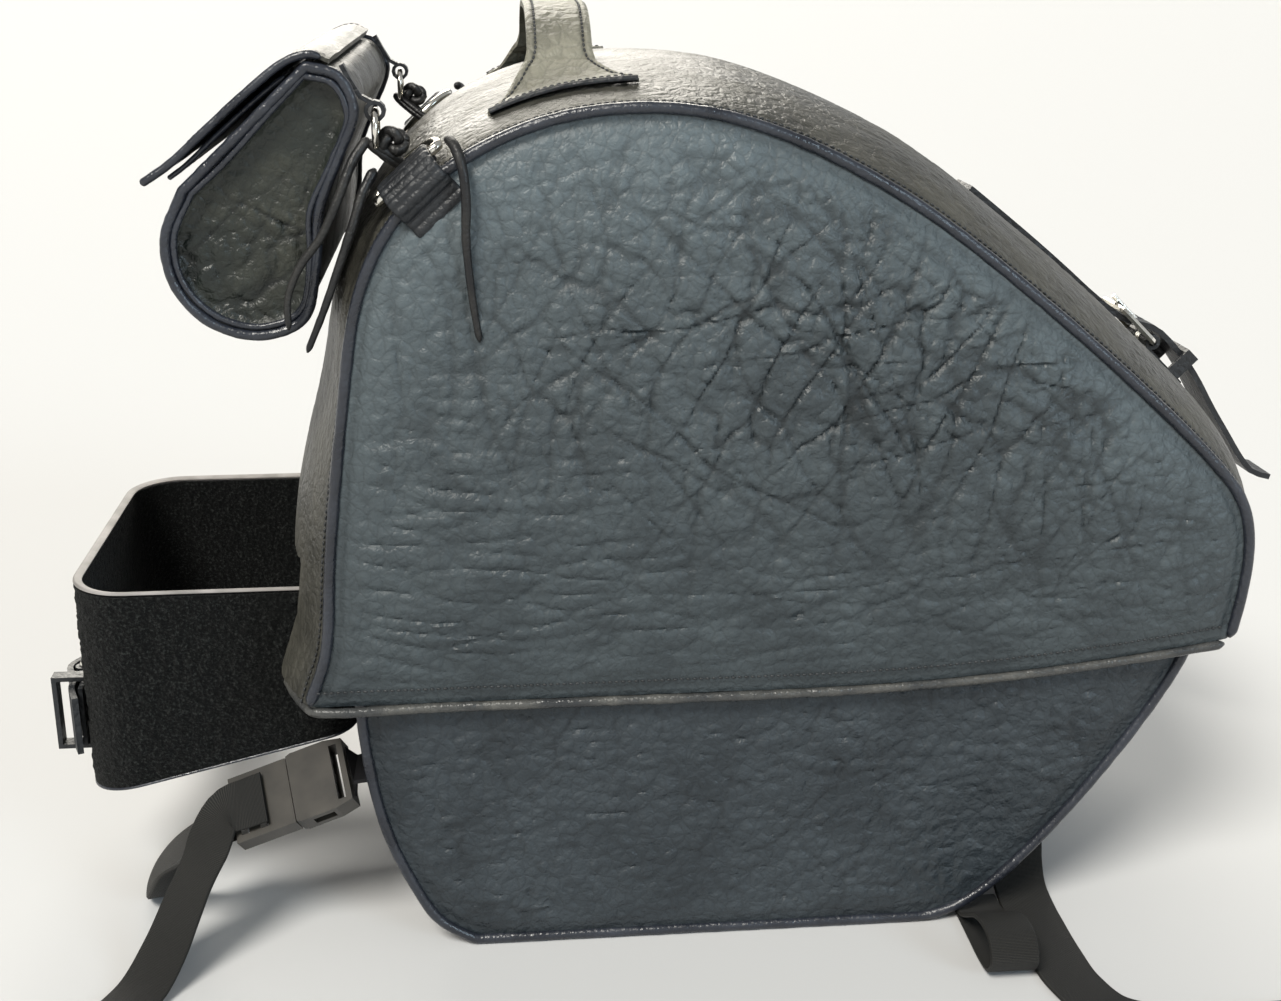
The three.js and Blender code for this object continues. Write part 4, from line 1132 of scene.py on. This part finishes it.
def build_laces():
    for name, side in SIDES:
        lace(f"lid_lace_{name}", on_side(LID_LACE, side), "lid", f"lace_lid_{name}", 51 + side)
    lace("end_lace_near", on_side(END_LACE, -1), "roll", "lace_end_near", 61)
    lace("gap_lace_near", on_side(GAP_LACE, -1), "roll", "lace_gap_near", 71)


# ---- backrest band ----


def band_loop(out, count):
    """The band's loop seen from above: wide corners in front, tight ones against the bag."""
    b = BAND
    x0, x1, y = b["front"] - out, b["back"] + min(out, 0), b["half"] + out
    r0, r1 = b["corner"] + out, b["back_corner"] + out
    turn = np.linspace(0, math.pi / 2, 12)
    corners = [((x0 + r0, y - r0), r0, math.pi / 2), ((x0 + r0, r0 - y), r0, math.pi),
               ((x1 - r1, r1 - y), r1, 1.5 * math.pi), ((x1 - r1, y - r1), r1, 0)]
    points = [(cx + r * np.cos(turn + a), cy + r * np.sin(turn + a)) for (cx, cy), r, a in corners]
    line = np.vstack([np.stack(p, 1) for p in points])
    return evenly(np.vstack([line, line[:1]]), count + 1)[:-1]


def build_band():
    """A loop of curled fabric with a bound edge above and below. Its lower edge rises towards the bag."""
    b = BAND
    count, levels = 420, 72
    outside, within = band_loop(0, count), band_loop(-b["thick"] + 0.4, count)
    low = b["bottom"] + b["climb"] * (outside[:, 0] - b["front"])
    share = np.linspace(0, 1, levels)
    u = np.arange(count)[:, None] * BAND_STEP + 0 * share
    v = low[:, None] * (1 - share) + b["top"] * share
    curl = 0.75 * swell(u / 2.9, v / 2.9, 1501) + 0.5 * swell(u / 1.7, v / 1.7, 1511)
    edge = ease(np.minimum(v - low[:, None], b["top"] - v) / 4)
    out = unit(outside - within)
    outer, inner = np.zeros((2, count, levels, 3))
    outer[..., :2] = outside[:, None] + out[:, None] * ((curl - 0.5) * edge - 0.5 * (1 - edge))[..., None]
    inner[..., :2] = within[:, None] - out[:, None] * (0.4 * curl * edge)[..., None]
    outer[..., 2] = inner[..., 2] = v
    verts, faces, _ = sheet_solid(outer, inner, wrap=True)
    piece("loop_band", verts, faces, LOOP, "body", ("wrap_band",), smooth=80)
    line = band_loop(-b["thick"] / 2, 300)
    low = b["bottom"] - 1.5 + b["climb"] * (line[:, 0] - b["front"])
    # the top binding's pale colour is a painted highlight; the bottom one is dark piping
    for name, z, look in (("top", np.full(300, b["top"] + 1.5), BAND_TOP_PAINTED_HIGHLIGHT), ("bottom", low, PIPING)):
        rim = np.hstack([line, z[:, None]])
        section = strap_section(b["thick"] - 0.6, 2.6, 1.2, 3)
        verts, faces = lofted(swept(rim, section, (0, 0, 1), closed=True), closed=True)
        piece(f"band_edge_{name}", verts, faces, look, "body", (f"band_binding_{name}",),
              smooth=60)
    dress("front_panel", STRAP_LEATHER, 0.8)
    dress("band_strap", STRAP_LEATHER, 0.5)


def build_hardware():
    for prefix in ("lid", "band"):
        dress(f"{prefix}_buckle_frame", NICKEL, 0, smooth=80)
        dress(f"{prefix}_buckle_prong", NICKEL, 0.25, smooth=50)
        dress(f"{prefix}_buckle_chape", STRAP_LEATHER, 0.3)
        dress(f"{prefix}_keeper", STRAP_LEATHER, 0.3)
    dress("lid_strap", STRAP_LEATHER, 0.5)
    for name in ("near", "far"):
        dress(f"clip_socket_{name}", PLASTIC, 1.0, 3)
        dress(f"clip_plug_{name}", PLASTIC, 0.6, 3)
        dress(f"strap_root_{name}", NYLON, 0.4)


def build_webbing():
    for name, side in SIDES:
        at = np.array(CLIP["at"]) * (1, side, 1)
        droop, tilt = Matrix.Rotation(CLIP["droop"], 3, "Y"), Matrix.Rotation(side * CLIP["tilt"], 3, "X")
        turn = np.array(droop @ tilt)

        def clip(x, y=0.0):
            return turn @ (x, y, 0) + at

        across = turn @ (0, 0, 1)
        length = CLIP["length"]
        if side < 0:
            points = np.vstack([clip(-length + 0.4), clip(-length - 8), on_side(FRONT_STRAP, side)])
            strap(f"buckle_strap_{name}", points, across, f"plug_{name}", f"front_strap_{name}")
        points = np.vstack([clip(-12, side * 7.2), clip(-22, side * 7.4), clip(-length - 3, side * 6.4),
                            on_side(FRONT_TAIL, side)])
        strap(f"buckle_tail_{name}", points, across, f"plug_{name}", f"front_tail_{name}", 110)
        strap(f"seat_strap_{name}", on_side(REAR_TAIL, side), (1, 0, 0), "body", f"rear_tail_{name}", 110)
    loop = [(113, -y, z) for y, z in REAR_LOOP]
    strap("seat_loop_near", loop, (1, 0, 0), "body", "rear_loop_near", width=24)


# ---- stage ----


def build_floor():
    mesh = bpy.data.meshes.new("floor")
    corners = [(FLOOR_REACH * x, FLOOR_REACH * y, 0) for x, y in ((-1, -1), (1, -1), (1, 1), (-1, 1))]
    mesh.from_pydata(corners, [], [(0, 1, 2, 3)])
    mesh.materials.append(new_look("floor", (0.52, 0.52, 0.52), 0.9)[0])
    floor = bpy.data.objects.new("floor", mesh)
    bpy.context.scene.collection.objects.link(floor)


def build_world():
    """A pale studio, brightest at the horizon."""
    world = bpy.data.worlds.new("studio")
    world.use_nodes = True
    tree = world.node_tree
    background = tree.nodes["Background"]
    background.inputs["Color"].default_value = (0.97, 0.99, 1.0, 1)
    direction = node(tree, "SeparateXYZ")
    tree.links.new(node(tree, "TexCoord").outputs["Generated"], direction.inputs[0])
    haze = ramp(tree, direction.outputs["Z"], 0.04, 0.4, 0.95, 0.32)
    tree.links.new(haze, background.inputs["Strength"])
    bpy.context.scene.world = world


def build_lights():
    for name, toward, spread, power, color in LIGHTS:
        data = bpy.data.lights.new(name, "SUN")
        data.angle, data.energy, data.color = math.radians(spread), power, color
        light = bpy.data.objects.new(name, data)
        light.rotation_euler = Vector(toward).to_track_quat("Z", "Y").to_euler()
        light.location = Vector(toward)
        bpy.context.scene.collection.objects.link(light)


def build_camera():
    camera = bpy.data.cameras.new("camera")
    camera.lens, camera.sensor_width = CAMERA["lens"], 36
    camera.shift_y = CAMERA["rise"]
    viewer = bpy.data.objects.new("camera", camera)
    viewer.location = CAMERA["at"]
    viewer.rotation_euler = (math.radians(90 - CAMERA["down"]), 0, math.radians(CAMERA["turn"]))
    bpy.context.scene.collection.objects.link(viewer)
    bpy.context.scene.camera = viewer
    bpy.context.scene.view_settings.view_transform = "Standard"


build_floor()
build_world()
build_lights()
build_camera()
build_webbing()
build_laces()
build_lid_sides()
build_lid_gusset()
build_lid_edges()
build_tub()
build_handle()
build_roll()
build_flap()
build_rings()
build_knots()
build_band()
build_hardware()
